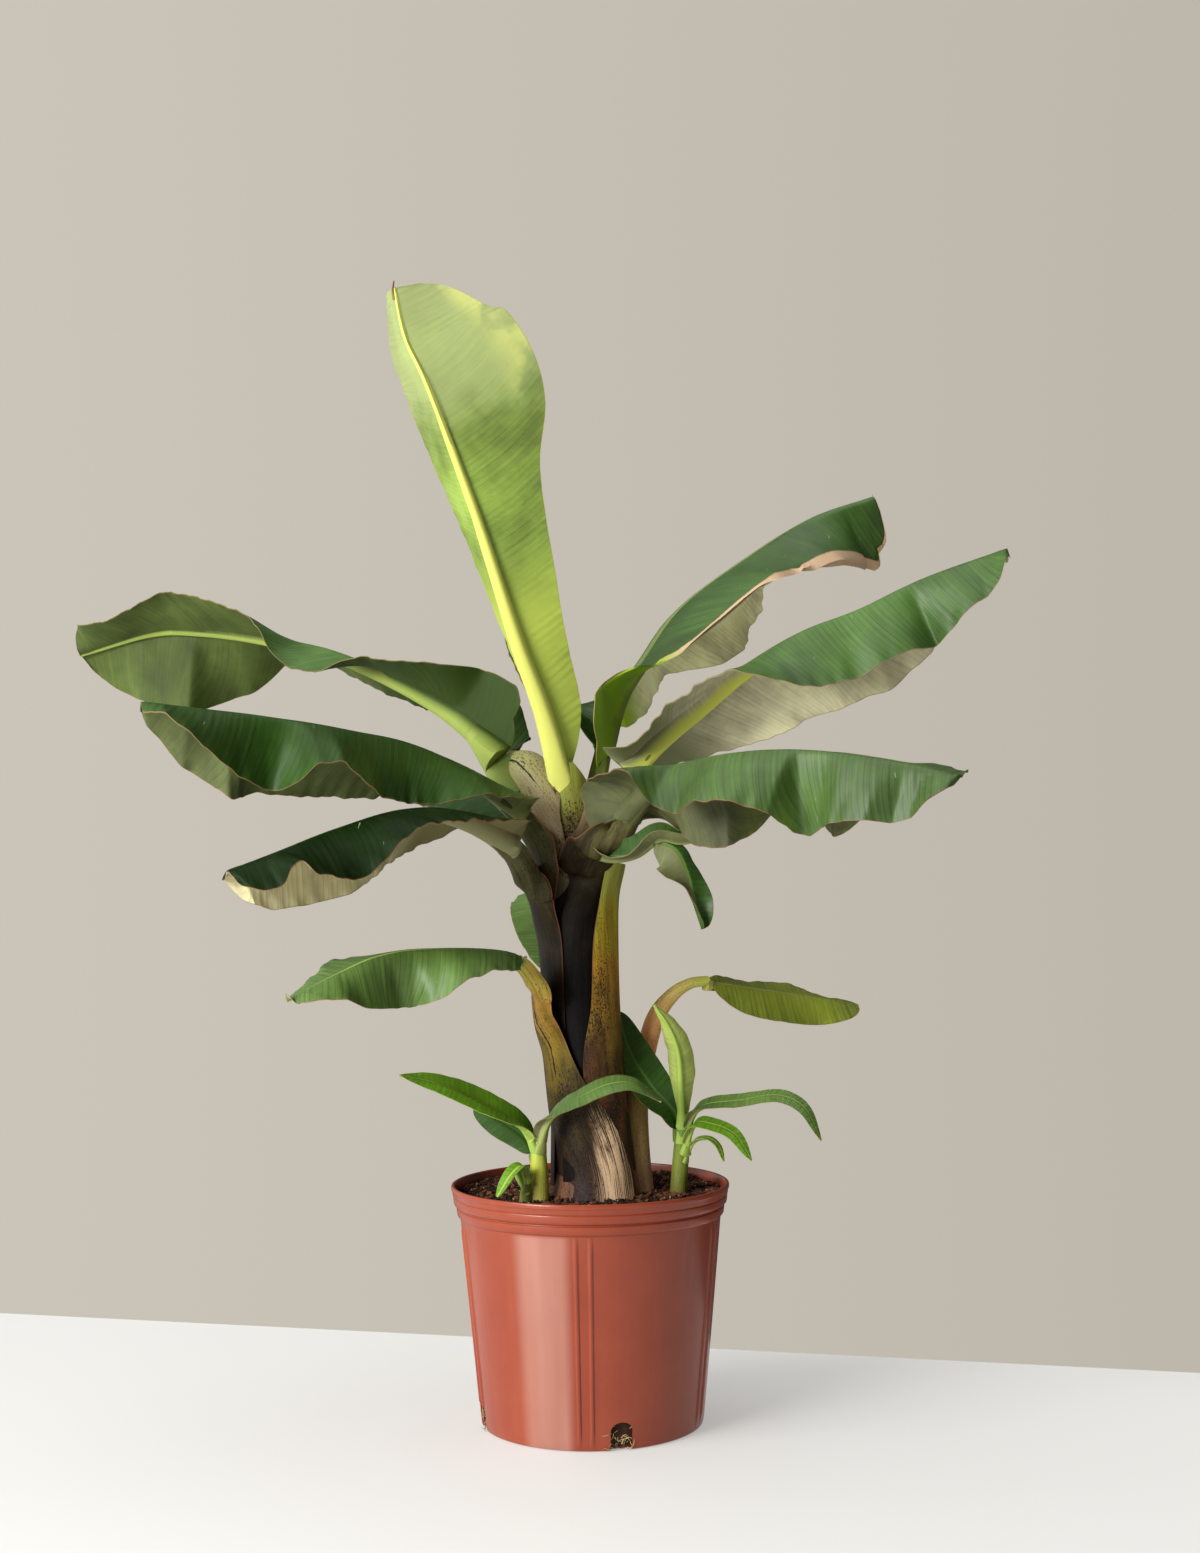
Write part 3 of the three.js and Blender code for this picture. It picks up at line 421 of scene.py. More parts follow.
def leaf_mesh(spec, seed, begin):
    """One leaf as a thin closed blade with its midrib, from a share of its stalk on."""
    soft = spec.get("soft", 10)
    start = spec["petiole"]
    length = walk(spec["path"], [0, 1])[2]
    # The rows' spacing, the columns in a half, how many of them cover the midrib, and the thickness.
    spacing, columns, inner, thin = (1.5, 9, 3, 0.7) if length < 260 else (1.8, 18, 5, 1.1)
    t = np.linspace(0, 1, int(min(max(length / spacing, 60), 340)))
    t = 0.6 * t + 0.2 * (1 - np.cos(np.pi * t))
    stalk = np.linspace(-start * (1 - begin), 0, 18)[:-1] / (1 - start)
    t = np.concatenate([stalk, t])
    spot, heading, normal, rib = midrib(spec, start + (1 - start) * t)
    left = np.cross(normal, heading)
    inside = np.clip(t, 0, 1)
    blade = t > 0
    tall, thick = t[:, None], rib[:, None]
    reach = tall * (1 - start) * length
    halves = []
    for half, side in enumerate((1, -1)):
        full = outline(inside, spec.get("fullest", 0.5), spec.get("blunt", [0.35, 0.35]))
        full = full * spec["width"][half]
        if "waist" in spec:
            full = full * along(spec["waist"][half], inside)
        width = np.maximum(rib, np.where(blade, full, 0))
        bend, waves, shift = spec.get("wave", [[0, 0, 0], [0, 0, 0]])[half]
        curl = along(spec["curl"][half], inside) if "curl" in spec else 0
        curl = curl + bend * sine(waves * inside + shift, 1)
        curl = np.radians(np.where(blade, curl, 0))
        ear = spec.get("ear", [0, 0])[half] * np.exp(-(t / 0.09) ** 2) * blade
        back = -heading * ear[:, None]
        edge = spec.get("edge", [None, None])[half]
        if edge:
            lift, width = hang(edge, spot + back, side * left, normal, width, curl, soft, t)
        else:
            lift = np.radians(along(spec["lift"][half], inside))
        lift = np.where(blade, lift, STALK_LIFT)
        flap = along(spec["flap"], inside) * blade if half and "flap" in spec else 0 * t
        roll = np.where(flap > 0, FLAP_TURN, 0)
        width = width + flap
        near = np.clip(1.2 * rib / width, 0.12, 0.6)[:, None]
        k = np.arange(columns + 1)[None, :]
        s = np.where(k <= inner, near * k / inner, near + (1 - near) * (k - inner) / (columns - inner))
        out, up, angle = across(width, lift, curl, roll, 1 - flap / width, soft, s)
        distance = s * width[:, None]
        # Veins leave the midrib at a steep angle and bend towards the tip near the margin.
        vein = reach - 0.18 * distance - 0.0022 * distance ** 2
        size = min(1.0, spec["width"][half] / 60)
        offset = 37.0 * half + 11.0 * seed
        fade = np.clip(s * 3, 0, 1) * np.clip(width / 20, 0, 1)[:, None] * blade[:, None]
        fine, broad = (sine(vein + offset, period) for period in PLEAT_PERIODS)
        pleat = PLEAT_HEIGHT * size * fade * fine * (0.6 + 0.4 * broad)
        first, second, third = FRILL_PERIODS
        frill = (sine(reach + offset, first) * sine(reach + 3 * offset, second)
                 + 0.5 * sine(reach + offset, third)) * np.clip((s - 0.55) / 0.45, 0, 1) ** 2
        frill *= spec.get("frill", 1) * FRILL_HEIGHT * size / (1 + flap[:, None]) * blade[:, None]
        frill *= np.clip(tall * 8, 0, 1) * np.clip((1 - tall) * 8, 0, 1)
        face = (normal[:, None] * np.cos(angle)[..., None]
                - left[:, None] * (side * np.sin(angle))[..., None])
        face[:, 0] = normal
        middle = (spot[:, None] + left[:, None] * (side * out)[..., None]
                  + normal[:, None] * up[..., None] + back[:, None] * (s ** 2)[..., None]
                  + face * (pleat + frill)[..., None])
        # The midrib is round below the blade and has a groove above.
        off = distance / thick
        bulge = np.sqrt(np.clip(1 - off ** (2 + 2 * np.clip(1 - tall / 0.15, 0, 1)), 0, 1))
        depth = thin + np.maximum(0, 2 * thick - thin) * bulge
        groove = (0.3 + 0.6 * np.clip(1 - tall * 10, 0, 1)) * thick * np.clip(1 - (off / 0.85) ** 2, 0, 1)
        notes = np.stack(np.broadcast_arrays((vein + RIGHT_VEINS * half) * MM, distance * MM, tall, s, off,
                                             half * spec.get("turned", 0)), -1)
        points = [middle + face * (thin / 2 - down)[..., None] for down in (groove, depth)]
        whole = np.concatenate([*points, notes], -1)
        halves.append(whole[:, 1:] if half else whole[:, ::-1])
    upper, lower, above = np.split(np.concatenate(halves, 1), [3, 6], -1)
    below = above[:, ::-1].copy()
    below[..., 5] = 1 - below[..., 5]
    notes = np.concatenate([above, below], 1)
    maps = {"veins": notes[..., :2], "share": notes[..., 2:4], "rib": notes[..., 4:]}
    return tube(spec["name"] + "_blade", np.concatenate([upper, lower[:, ::-1]], 1), maps)


# Materials

class Value:
    """An output of a node. Adding to it, taking from it or multiplying it makes another node."""

    def __init__(self, graph, socket):
        self.graph = graph
        self.socket = socket

    def __add__(self, other):
        return self.graph.math("ADD", self, other)

    def __sub__(self, other):
        return self.graph.math("SUBTRACT", self, other)

    def __mul__(self, other):
        return self.graph.math("MULTIPLY", self, other)


class Graph:
    """The nodes of a material or the world, with short calls for making them."""

    def __init__(self, owner):
        owner.use_nodes = True
        self.tree = owner.node_tree

    def feed(self, node, feeds):
        """Links values to a node's inputs, or sets them, by name or number."""
        for key, value in dict(feeds).items():
            if isinstance(value, Value):
                self.tree.links.new(value.socket, node.inputs[key])
            else:
                node.inputs[key].default_value = value

    def node(self, kind, feeds=(), output=0, **settings):
        """One output of a new node."""
        made = self.tree.nodes.new("ShaderNode" + kind)
        for key, value in settings.items():
            setattr(made, key, value)
        self.feed(made, feeds)
        return Value(self, made.outputs[output])

    def math(self, operation, *values):
        return self.node("Math", enumerate(values), operation=operation)

    def between(self, value, low, high, start=0.0, end=1.0, curve="SMOOTHSTEP"):
        """start below low, end above high and a curve between. Low may be above high."""
        return self.node("MapRange", enumerate((value, low, high, start, end)), interpolation_type=curve)

    def mix(self, factor, a, b, blend="MIX"):
        """A colour of other nodes mixed with another one or with a screen colour."""
        b = b if isinstance(b, Value) else srgb(*b)
        return self.node("Mix", {0: factor, 6: a, 7: b}, 2, data_type="RGBA", blend_type=blend)

    def split(self, vector):
        """The three numbers of a vector."""
        node = self.node("SeparateXYZ", {0: vector}).socket.node
        return [Value(self, output) for output in node.outputs]

    def map(self, name):
        """The two numbers of a mesh's map, and both as a vector."""
        both = self.node("UVMap", uv_map=name)
        return (*self.split(both)[:2], both)

    def place(self):
        return self.node("TexCoord", output="Object")

    def stretch(self, vector, x, y, z=1.0):
        return self.node("Mapping", {"Vector": vector, "Scale": (x, y, z)})

    def noise(self, vector, scale=1.0, detail=2.0, roughness=0.5):
        return self.node("TexNoise", {"Vector": vector, "Scale": scale, "Detail": detail,
                                      "Roughness": roughness})

    def ramp(self, value, stops):
        """Screen colours along a value, each with its place."""
        made = self.node("ValToRGB", {0: value})
        elements = made.socket.node.color_ramp.elements
        while len(elements) < len(stops):
            elements.new(0.5)
        for element, (position, colour) in zip(elements, stops):
            element.position = position
            element.color = srgb(*colour)
        return made


class Shader(Graph):
    """A material with one Principled shader."""

    def __init__(self, name):
        self.material = bpy.data.materials.new(name)
        super().__init__(self.material)
        self.surface = self.tree.nodes["Principled BSDF"]
        self.relief = {}

    def bump(self, height, strength, distance):
        """Adds relief over what the surface has."""
        feeds = {"Height": height, "Strength": strength, "Distance": distance}
        self.relief = {"Normal": self.node("Bump", {**feeds, **self.relief})}
        self.feed(self.surface, self.relief)

    def finish(self, colour, roughness, **sockets):
        """The material, with the shader's other sockets set. Their names have _ for a space."""
        self.feed(self.surface, {"Base Color": colour, "Roughness": roughness})
        self.feed(self.surface, {key.replace("_", " "): value for key, value in sockets.items()})
        return self.material


# Screen colours of the upper side, the under side, the midrib on both and the margin, then extras:
# root (the under side near the stalk, gone at root_at's first share and full at its second), blush
# (the outer part of the right half's under side), painted_sheen (a painted sheen, paler on the under side
# towards the tip) and gloss.
LOOKS = {
    "upper_left": ((84, 118, 54), (74, 88, 36), (120, 146, 66), (146, 162, 76), (120, 96, 60),
                   dict(root=(44, 64, 6), gloss=0.25)),
    "mid_left": ((42, 74, 14), (92, 102, 56), (60, 90, 30), (120, 128, 76), (134, 100, 70),
                 dict(gloss=0.22)),
    # lower_left: its upper side is painted nearly black, painted shade from the leaves above it.
    "lower_left": ((14, 32, 4), (196, 188, 146), (40, 60, 20), (140, 140, 100), (120, 80, 56),
                   dict(gloss=0.08, root=(112, 106, 70), root_at=(0.42, 0.26))),
    "small": ((84, 112, 48), (146, 148, 106), (150, 172, 84), (156, 170, 88), (126, 96, 60), {}),
    # upper_right: its under side is painted almost white, painted light that stands in for light shining
    # through the leaf.
    "upper_right": ((66, 98, 38), (240, 236, 188), (140, 160, 84), (150, 160, 80), (150, 104, 78),
                    dict(blush=(208, 176, 140), root=(176, 206, 50), root_at=(0.24, 0.15))),
    "second_right": ((66, 98, 36), (200, 194, 158), (110, 140, 60), (214, 218, 92), (136, 108, 70),
                     dict(root=(124, 128, 88), root_at=(0.24, 0.1))),
    "third_right": ((66, 92, 38), (84, 88, 50), (120, 140, 76), (84, 88, 50), (130, 84, 60), {}),
    "curled": ((46, 76, 22), (84, 88, 50), (84, 116, 44), (120, 126, 70), (130, 100, 60), {}),
    # top: its under side gets a painted sheen towards the tip, and its root colour is painted light on the
    # blade's shaded base.
    "top": ((90, 132, 48), (124, 148, 58), (190, 200, 90), (212, 214, 104), (140, 140, 60),
            dict(painted_sheen=(158, 164, 116), root=(176, 192, 78))),
    "olive": ((124, 136, 38), (136, 132, 68), (170, 176, 80), (180, 172, 84), (130, 84, 40), {}),
    "young": ((100, 146, 26), (172, 188, 96), (170, 190, 80), (160, 188, 80), (150, 160, 80), {}),
    "back": ((44, 74, 26), (124, 124, 88), (110, 136, 60), (140, 150, 80), (126, 90, 60), {}),
}


def leaf_material(key):
    """Both sides of a blade with veins and patches, its midrib and its dry margin."""
    upper, under, rib_upper, rib_under, margin, extras = LOOKS[key]
    sh = Shader("banana_" + key)
    vein, _, veins = sh.map("veins")
    t, s, _ = sh.map("share")
    near, side, _ = sh.map("rib")
    fine = sh.noise(sh.stretch(veins, 900, 14))
    broad = sh.noise(sh.stretch(veins, 170, 6), detail=3)
    patch = sh.noise(sh.place(), 14, 4, 0.6)
    line = sh.between(sh.math("SINE", vein * (2 * math.pi / 0.0052)), 0.4, 1.0) * -0.07

    def tones(value, colour):
        """A darker tone, the colour and a lighter tone along a value."""
        return sh.ramp(value, [(0.36, [c * 0.76 for c in colour]), (0.5, colour),
                               (0.64, [c * 1.14 + 8 for c in colour])])

    upper = tones(fine * 0.28 + broad * 0.22 + patch * 0.5 + line, upper)
    under = tones(fine * 0.15 + broad * 0.15 + patch * 0.7 + line * 0.5, under)
    if "blush" in extras:
        right_half = sh.between(vein, 0.62, 0.64)
        under = sh.mix(right_half * sh.between(s, 0.66, 0.78), under, extras["blush"])
    if "painted_sheen" in extras:
        # A painted sheen, paler towards the tip, and dry yellow patches near the left half's margin.
        sheen_mask = sh.between(t, 0.45, 0.95) + (patch - 0.5)
        under = sh.mix(sh.between(sheen_mask, 0.3, 0.9) * 0.6, under, extras["painted_sheen"])
        left_half = sh.between(vein, 0.62, 0.6)
        dry = sh.between(s, 0.6, 0.9) * sh.between(t, 0.62, 0.75) * left_half
        under = sh.mix(dry * (sh.between(patch, 0.46, 0.6) * 0.5), under, (206, 206, 112))
    if "root" in extras:
        under = sh.mix(sh.between(t, *extras.get("root_at", (0.48, 0.3))), under, extras["root"])
    scratch = sh.noise(sh.stretch(sh.place(), 260, 30, 60))
    upper = sh.mix(sh.between(scratch, 0.74, 0.8) * 0.4, upper, (190, 200, 170))
    upper = sh.mix(sh.between(near, 0.95, 0.45), upper, rib_upper)
    under = sh.mix(sh.between(near, 1.15, 0.7), under, rib_under)
    edge = sh.between(s, 0.985, 0.997) * (patch * 0.6 + 0.35) * sh.between(t, 0.0, 0.02)
    colour = sh.mix(edge, sh.mix(side, upper, under), margin)
    sh.bump(fine, 0.25, 0.0006)
    return sh.finish(colour, broad * 0.2 + 0.38 + side * 0.2, Subsurface_Weight=0.35,
                     Subsurface_Scale=0.0015, Subsurface_Radius=(0.8, 1.0, 0.3),
                     Specular_IOR_Level=extras.get("gloss", 0.38))


def bark_material(name, tones, speck=0.6, edge=(120, 70, 50), streaks=0.5, gloss=0.25, foot=None,
                  crack=None):
    """A sheath or stem: colours from foot to top, with fibres, blotches, dark specks and a dry edge."""
    sh = Shader(name)
    _, round_it, place = sh.map("sheath")
    share, margin, _ = sh.map("share")
    fibre = sh.noise(sh.stretch(place, 14, 900), 1, 3, 0.6)
    streak = sh.noise(sh.stretch(place, 9, 110), 1, 4, 0.6)
    blotch = sh.noise(sh.stretch(place, 24, 40), 1, 5, 0.65)
    height = share + (blotch - 0.5) * 0.5
    tone = sh.ramp(height, [(0.04 + 0.9 * i / (len(tones) - 1), c) for i, c in enumerate(tones)])
    worn = sh.mix(1.0, tone, (112, 86, 70), "MULTIPLY")
    colour = sh.mix(sh.between(streak, 0.6, 0.36) * streaks, tone, worn)
    colour = sh.mix(sh.between(fibre, 0.6, 0.35) * 0.3, colour, worn)
    crowd = sh.noise(sh.stretch(place, 16, 30)) - 0.5
    dots = sh.noise(sh.stretch(place, 420, 620), 1, 2, 0.7) + crowd * 0.5
    marks = sh.noise(sh.stretch(place, 70, 260), 1, 4, 0.7) + crowd * 0.25
    low = sh.between(height, 0.95, 0.2) * 0.07
    dark = sh.math("MAXIMUM", sh.between(dots + low, 0.62, 0.67), sh.between(marks + low, 0.66, 0.69))
    if foot:
        # Dry pale fibres near the soil, with few specks.
        torn = sh.between(fibre * 0.6 + streak * 0.4, 0.43, 0.53)
        torn = torn * sh.between(height - round_it * 5, 0.26, 0.04) * sh.between(round_it, -0.006, 0.016)
        colour = sh.mix(torn, colour, foot)
        dark = dark * (torn * -0.85 + 1.0)
    colour = sh.mix(dark * speck, colour, (20, 13, 10))
    if crack:
        # A slit painted near black: painted shade inside a split of the sheath.
        begin, end, off = crack
        away = sh.math("ABSOLUTE", round_it - off * MM + (blotch - 0.5) * 0.012)
        slit = sh.between(share, begin, begin + 0.03) * sh.between(share, end, end - 0.03)
        colour = sh.mix(slit * sh.between(away, 0.0013, 0.0006), colour, (14, 9, 7))
    rim = sh.between(margin, 0.965, 0.99) * sh.between(share, 0.92, 0.85) * sh.between(height, 0.45, 0.85)
    colour = sh.mix(rim, colour, edge)
    sh.bump(fibre, 0.35, 0.0008)
    sh.bump(streak, 0.5, 0.002)
    return sh.finish(colour, streak * 0.3 + 0.4, Specular_IOR_Level=gloss)


# Camera, light and stage

def set_camera():
    data = bpy.data.cameras.new("camera")
    data.sensor_width = SENSOR
    data.lens = FOCAL_PIXELS / IMAGE_HEIGHT * SENSOR
    data.clip_start, data.clip_end = 0.05, 40
    turn = Matrix.Rotation(math.pi / 2 + PITCH, 4, "X") @ Matrix.Rotation(-ROLL, 4, "Z")
    camera = bpy.data.objects.new("camera", data)
    camera.matrix_world = Matrix.Translation(Vector(CAMERA_AT) * MM) @ turn
    bpy.context.scene.collection.objects.link(camera)
    bpy.context.scene.camera = camera


def add_lamp(name, kind, at, towards, power, **settings):
    """A lamp at a place, in metres, that shines in a direction."""
    data = bpy.data.lights.new(name, kind)
    data.energy = power
    for key, value in settings.items():
        setattr(data, key, value)
    lamp = bpy.data.objects.new(name, data)
    lamp.location = at
    lamp.rotation_euler = Vector(towards).to_track_quat("-Z", "Y").to_euler()
    bpy.context.scene.collection.objects.link(lamp)


def set_stage():
    """The pale table, which ends behind the pot on a line that comes nearer on the right, and the lamps."""
    corners = [(-4508, 1458, 0), (4424, -838, 0), (4424, -6000, 0), (-4508, -6000, 0)]
    floor = new_object("floor", corners, [(0, 1, 2, 3)], smooth=False)
    # The table glows a little, which keeps it as even as in the photograph.
    floor.data.materials.append(Shader("studio_floor").finish(
        srgb(182, 181, 178), 0.6, Emission_Color=srgb(236, 235, 231), Emission_Strength=0.42))
    add_lamp("key", "SUN", (0, 0, 0), (0.732, 0.389, -0.559), 1.26, angle=math.radians(25))
    add_lamp("overhead", "SUN", (0, 0, 0), (0, 0, -1), 1.29, angle=math.radians(60))
    add_lamp("softbox", "AREA", (-1.7, -1.9, 1.0), (1.7, 1.9, -0.6), 67, shape="DISK", size=1.0)
    bpy.context.scene.view_settings.view_transform = "Standard"


def set_backdrop():
    """The plain wall as the camera sees it, with painted shade darker towards the right, and a studio's
    light, bright from the left.
    """
    world = bpy.data.worlds.new("studio")
    bpy.context.scene.world = world
    graph = Graph(world)
    direction = graph.node("TexCoord", output="Generated")
    slant = graph.node("VectorMath", {0: direction, 1: (-1, 0, 0)}, "Value", operation="DOT_PRODUCT")
    level = graph.between(slant, 0.0, 1.0, 0.09, 0.87)
    lit = graph.node("Background", {"Color": (1.0, 0.985, 0.96, 1), "Strength": level})
    # Painted shade: the wall darkens from left to right, as the light from the left falls off.
    sideways = graph.between(graph.split(direction)[0], -0.3, 0.3, curve="LINEAR")
    wall = graph.ramp(sideways, [(0.0, (204, 197, 186)), (1.0, (189, 182, 170))])
    seen = graph.node("Background", {"Color": wall})
    by_camera = graph.node("LightPath", output="Is Camera Ray")
    chosen = graph.node("MixShader", {0: by_camera, 1: lit, 2: seen})
    graph.feed(graph.tree.nodes["World Output"], {"Surface": chosen})


# Pot

def wall_radius(z):
    return FOOT_RADIUS + (RING_RADIUS - FOOT_RADIUS) * z / RING_BOTTOM


def pot_profile():
    """The pot's outside from the base to the lip, then its inside, as radius and height."""
    outside = [(0, 0), (60, 0), (FOOT_RADIUS - 4, 0), (FOOT_RADIUS - 2, 0.3), (FOOT_RADIUS - 0.6, 1),
               (FOOT_RADIUS, 2.4)]
    outside += [(wall_radius(z), z) for z in range(8, 184, 8)]
    outside += [(wall_radius(186), 186), (wall_radius(187.4), 187.4), (119.6, 188), (121.0, 188.9),
                (121.7, 190), (122.4, 195), (122.3, 195.9), (121.6, 196.4), (121.5, 197.2),
                (122.2, 197.8), (123.4, 198.4), (124.4, 199.4), (124.9, 201), (125.3, 205),
                (125.2, 205.7), (124.8, 206.1), (125.1, 206.7), (125.6, 207.1), (125.9, 208),
                (126.0, 211), (126.4, 211.6), (126.9, 212), (127, 212.8), (127, 214.8),
                (126.7, 215.6), (126.1, 216), (124.8, 216), (124.1, 215.7), (123.7, 215)]
    inside = [(123.1, 206), (122.6, 200), (119.4, 196.4)]
    inside += [(wall_radius(z) - WALL, z) for z in (188, 150, 100, 50, 10, POT_FLOOR + 1)]
    inside += [(wall_radius(POT_FLOOR) - WALL - 2, POT_FLOOR), (50, POT_FLOOR), (0, POT_FLOOR)]
    return outside + inside


def pot_material():
    sh = Shader("pot_plastic")
    where = sh.place()
    smear = sh.noise(sh.stretch(where, 40, 40, 3), detail=3)
    dust = sh.noise(where, 420, 3, 0.7)
    tone = sh.ramp(sh.noise(where, 9, 4, 0.6),
                   [(0.3, (134, 55, 34)), (0.55, (142, 61, 38)), (0.8, (150, 69, 44))])
    tone = sh.mix(sh.between(smear, 0.5, 0.75) * 0.25, tone, (168, 84, 56))
    tone = sh.mix(sh.between(dust, 0.62, 0.75) * 0.2, tone, (176, 110, 84))
    # A painted highlight: the softbox's upright reflection, painted as a pale band on the side left of the
    # front ribs, between two upright edges.
    x, y, z = sh.split(where)
    round_it = sh.math("ARCTAN2", x, y * -1.0)
    pale = (sh.between(round_it, math.radians(-37), math.radians(-29))
            * sh.between(round_it, math.radians(-7), math.radians(-13))
            * (smear * 0.3 + 0.12) * sh.between(z, 0.189, 0.184))
    tone = sh.mix(pale, tone, (214, 176, 158))
    sh.bump(dust, 0.12, 0.0004)
    return sh.finish(tone, smear * 0.1 + 0.2, Specular_IOR_Level=0.4)


def make_pot():
    """The pot's turned wall with its upright ribs, and the drain notches cut from its foot."""
    spread = math.degrees(RIB_SPREAD / 110)
    ribs = np.array([FIRST_RIB_DEG + 360 / RIB_PAIRS * i + side * spread
                     for i in range(RIB_PAIRS) for side in (-1, 1)])
    angles = set(np.round(np.linspace(-180, 180, 181)[:-1], 3))
    for rib in ribs:
        angles |= {round((rib + step + 180) % 360 - 180, 3) for step in np.linspace(-1.7, 1.7, 15)}
    angles = sorted(angles)
    angles = np.array([a for i, a in enumerate(angles) if i == 0 or a - angles[i - 1] > 0.12])
    turn = np.radians(angles)
    off = np.radians(np.abs((angles[:, None] - ribs + 180) % 360 - 180).min(1))
    profile = pot_profile()
    lip = max(i for i, (_, z) in enumerate(profile) if z >= POT_HEIGHT)
    rings = []
    for i, (r, z) in enumerate(profile):
        radius = r + 0.25 * np.sin(3 * turn + z / 60) * (r > 90)
        if i < lip and RIB_BOTTOM < z < RIB_TOP:
            proud = RIB_HEIGHT * np.clip(1 - (off * r / RIB_HALF_WIDTH) ** 2, 0, None) ** 0.6
            radius += proud * min(1, (z - RIB_BOTTOM) / 6, (RIB_TOP - z) / 6)
        rings.append(np.stack([radius * np.cos(turn), radius * np.sin(turn), z + 0 * turn], 1))
    pot = new_object("pot_shell", rings, ring_faces(len(rings), len(turn)))
    mend(pot.data)
    arch = [(-HOLE_WIDTH / 2, -5), (HOLE_WIDTH / 2, -5)]
    for a in np.linspace(0, math.pi, 13):
        arch.append((HOLE_WIDTH / 2 * math.cos(a), HOLE_HEIGHT - HOLE_ARCH * (1 - math.sin(a))))
    cutters = []
    for i in range(HOLES):
        a = math.radians(FIRST_HOLE_DEG + 360 / HOLES * i)
        solid = [(depth * math.cos(a) - u * math.sin(a), depth * math.sin(a) + u * math.cos(a), z)
                 for depth in (FOOT_RADIUS - 9, FOOT_RADIUS + 9) for u, z in arch]
        cutter = new_object("cutter", solid, ring_faces(2, len(arch), capped=True), smooth=False)
        mend(cutter.data)
        cut = pot.modifiers.new("cut", "BOOLEAN")
        cut.operation = "DIFFERENCE"
        cut.solver = "EXACT"
        cut.object = cutter
        cutters.append(cutter)
    result = pot.evaluated_get(bpy.context.evaluated_depsgraph_get())
    cut_mesh = bpy.data.meshes.new_from_object(result)
    pot.modifiers.clear()
    pot.data = cut_mesh
    for cutter in cutters:
        bpy.data.objects.remove(cutter)
    pot.data.shade_smooth()
    pot.data.set_sharp_from_angle(angle=math.radians(40))
    pot.data.materials.append(pot_material())
    return pot


# Soil

def soil_level(x, y, lumps=SOIL_LUMPS):
    """The soil's height at a place."""
    rise = sum(size * noise.noise(Vector((x / step, y / step, offset))) for size, step, offset in lumps)
    return SOIL_TOP - 1.0 + SOIL_RISE * y + rise


def soil_body():
    """The soil's top and the root ball's side and bottom, which show in the drain holes."""
    rings, sides = 46, 150
    turns = [2 * math.pi * j / sides for j in range(sides)]
    points = [(0, 0, SOIL_TOP)]
    for i in range(1, rings + 1):
        r = SOIL_RADIUS * i / rings
        for a in turns:
            x, y = r * math.cos(a), r * math.sin(a)
            points.append((x, y, soil_level(x, y)))
    heights = (196, 188, 100, 30, 24, 18, 12, 6, POT_FLOOR + 0.4)
    for z in heights:
        for a in turns:
            r = (wall_radius(z) if z <= RING_BOTTOM else 121) - WALL - 0.6
            r -= 1.5 + 1.2 * noise.noise(Vector((20 * math.cos(a), 20 * math.sin(a), z / 6)))
            points.append((r * math.cos(a), r * math.sin(a), z))
    faces = [(0, 1 + j, 1 + (j + 1) % sides) for j in range(sides)]
    faces += [(a, d, c, b) for a, b, c, d in ring_faces(rings + len(heights), sides, 1)]
    faces.append(tuple(range(len(points) - sides, len(points)))[::-1])
    return new_object("soil_body", points, faces, sharp_deg=80)


def grains(rng, name, count, low, high, flat, sink):
    """Loose pieces on the soil, none of them inside the trunk."""
    corners = [(x, y, z) for z in (-1, 1) for x, y in ((-1, -1), (1, -1), (1, 1), (-1, 1))]
    mid_x, mid_y, _, wide, deep = TRUNK[0].tolist()
    points, faces = [], []
    for _ in range(count):
        x, y = mid_x, mid_y
        while math.hypot((x - mid_x) / wide, (y - mid_y) / deep) <= 1.0:
            a, r = rng.uniform(0, 2 * math.pi), 120 * math.sqrt(rng.random())
            x, y = r * math.cos(a), r * math.sin(a)
        centre = Vector((x, y, rng.uniform(-sink, sink) + soil_level(x, y, SOIL_LUMPS[:1])))
        size = low * (high / low) ** rng.random()
        scale = [size * rng.uniform(*span) for span in ((0.6, 1.4), (0.3, 0.8), flat)]
        turn = Matrix.Rotation(rng.uniform(0, 6.3), 3, "Z")
        for axis in "XY":
            turn = turn @ Matrix.Rotation(rng.uniform(-0.6, 0.6), 3, axis)
        faces += ring_faces(2, 4, len(points), capped=True)
        for corner in corners:
            points.append(centre + turn @ Vector([c * k * rng.uniform(0.55, 1.1) / 2
                                                  for c, k in zip(corner, scale)]))
    return new_object(name, points, faces, smooth=False)


def earth(name, stops, relief):
    sh = Shader(name)
    grain = sh.noise(sh.place(), 260, 4, 0.7)
    sh.bump(grain, 0.6, relief)
    tone = grain * 0.5 + sh.noise(sh.place(), 60) * 0.5
    return sh.finish(sh.ramp(tone, stops), 0.9, Specular_IOR_Level=0.25)


def make_soil():
    rng = random.Random(11)
    dark = earth("soil_dark", [(0.35, (22, 14, 10)), (0.5, (44, 29, 20)), (0.66, (70, 46, 32))], 0.001)
    bark = earth("soil_bark", [(0.35, (48, 26, 16)), (0.5, (96, 54, 34)), (0.68, (140, 92, 62))], 0.0006)
    pale = earth("soil_perlite", [(0.3, (150, 132, 110)), (0.6, (196, 182, 160))], 0.0004)
    made = [soil_body(), grains(rng, "soil_bark", 1500, 2.5, 9, (0.25, 0.6), 1.2),
            grains(rng, "soil_crumbs", 5200, 1.2, 4, (0.4, 1.0), 1.4),
            grains(rng, "soil_perlite", 170, 1.0, 2.6, (0.6, 1.1), 1.2)]
    for piece, look in zip(made, (dark, bark, dark, pale)):
        piece.data.materials.append(look)
    return made


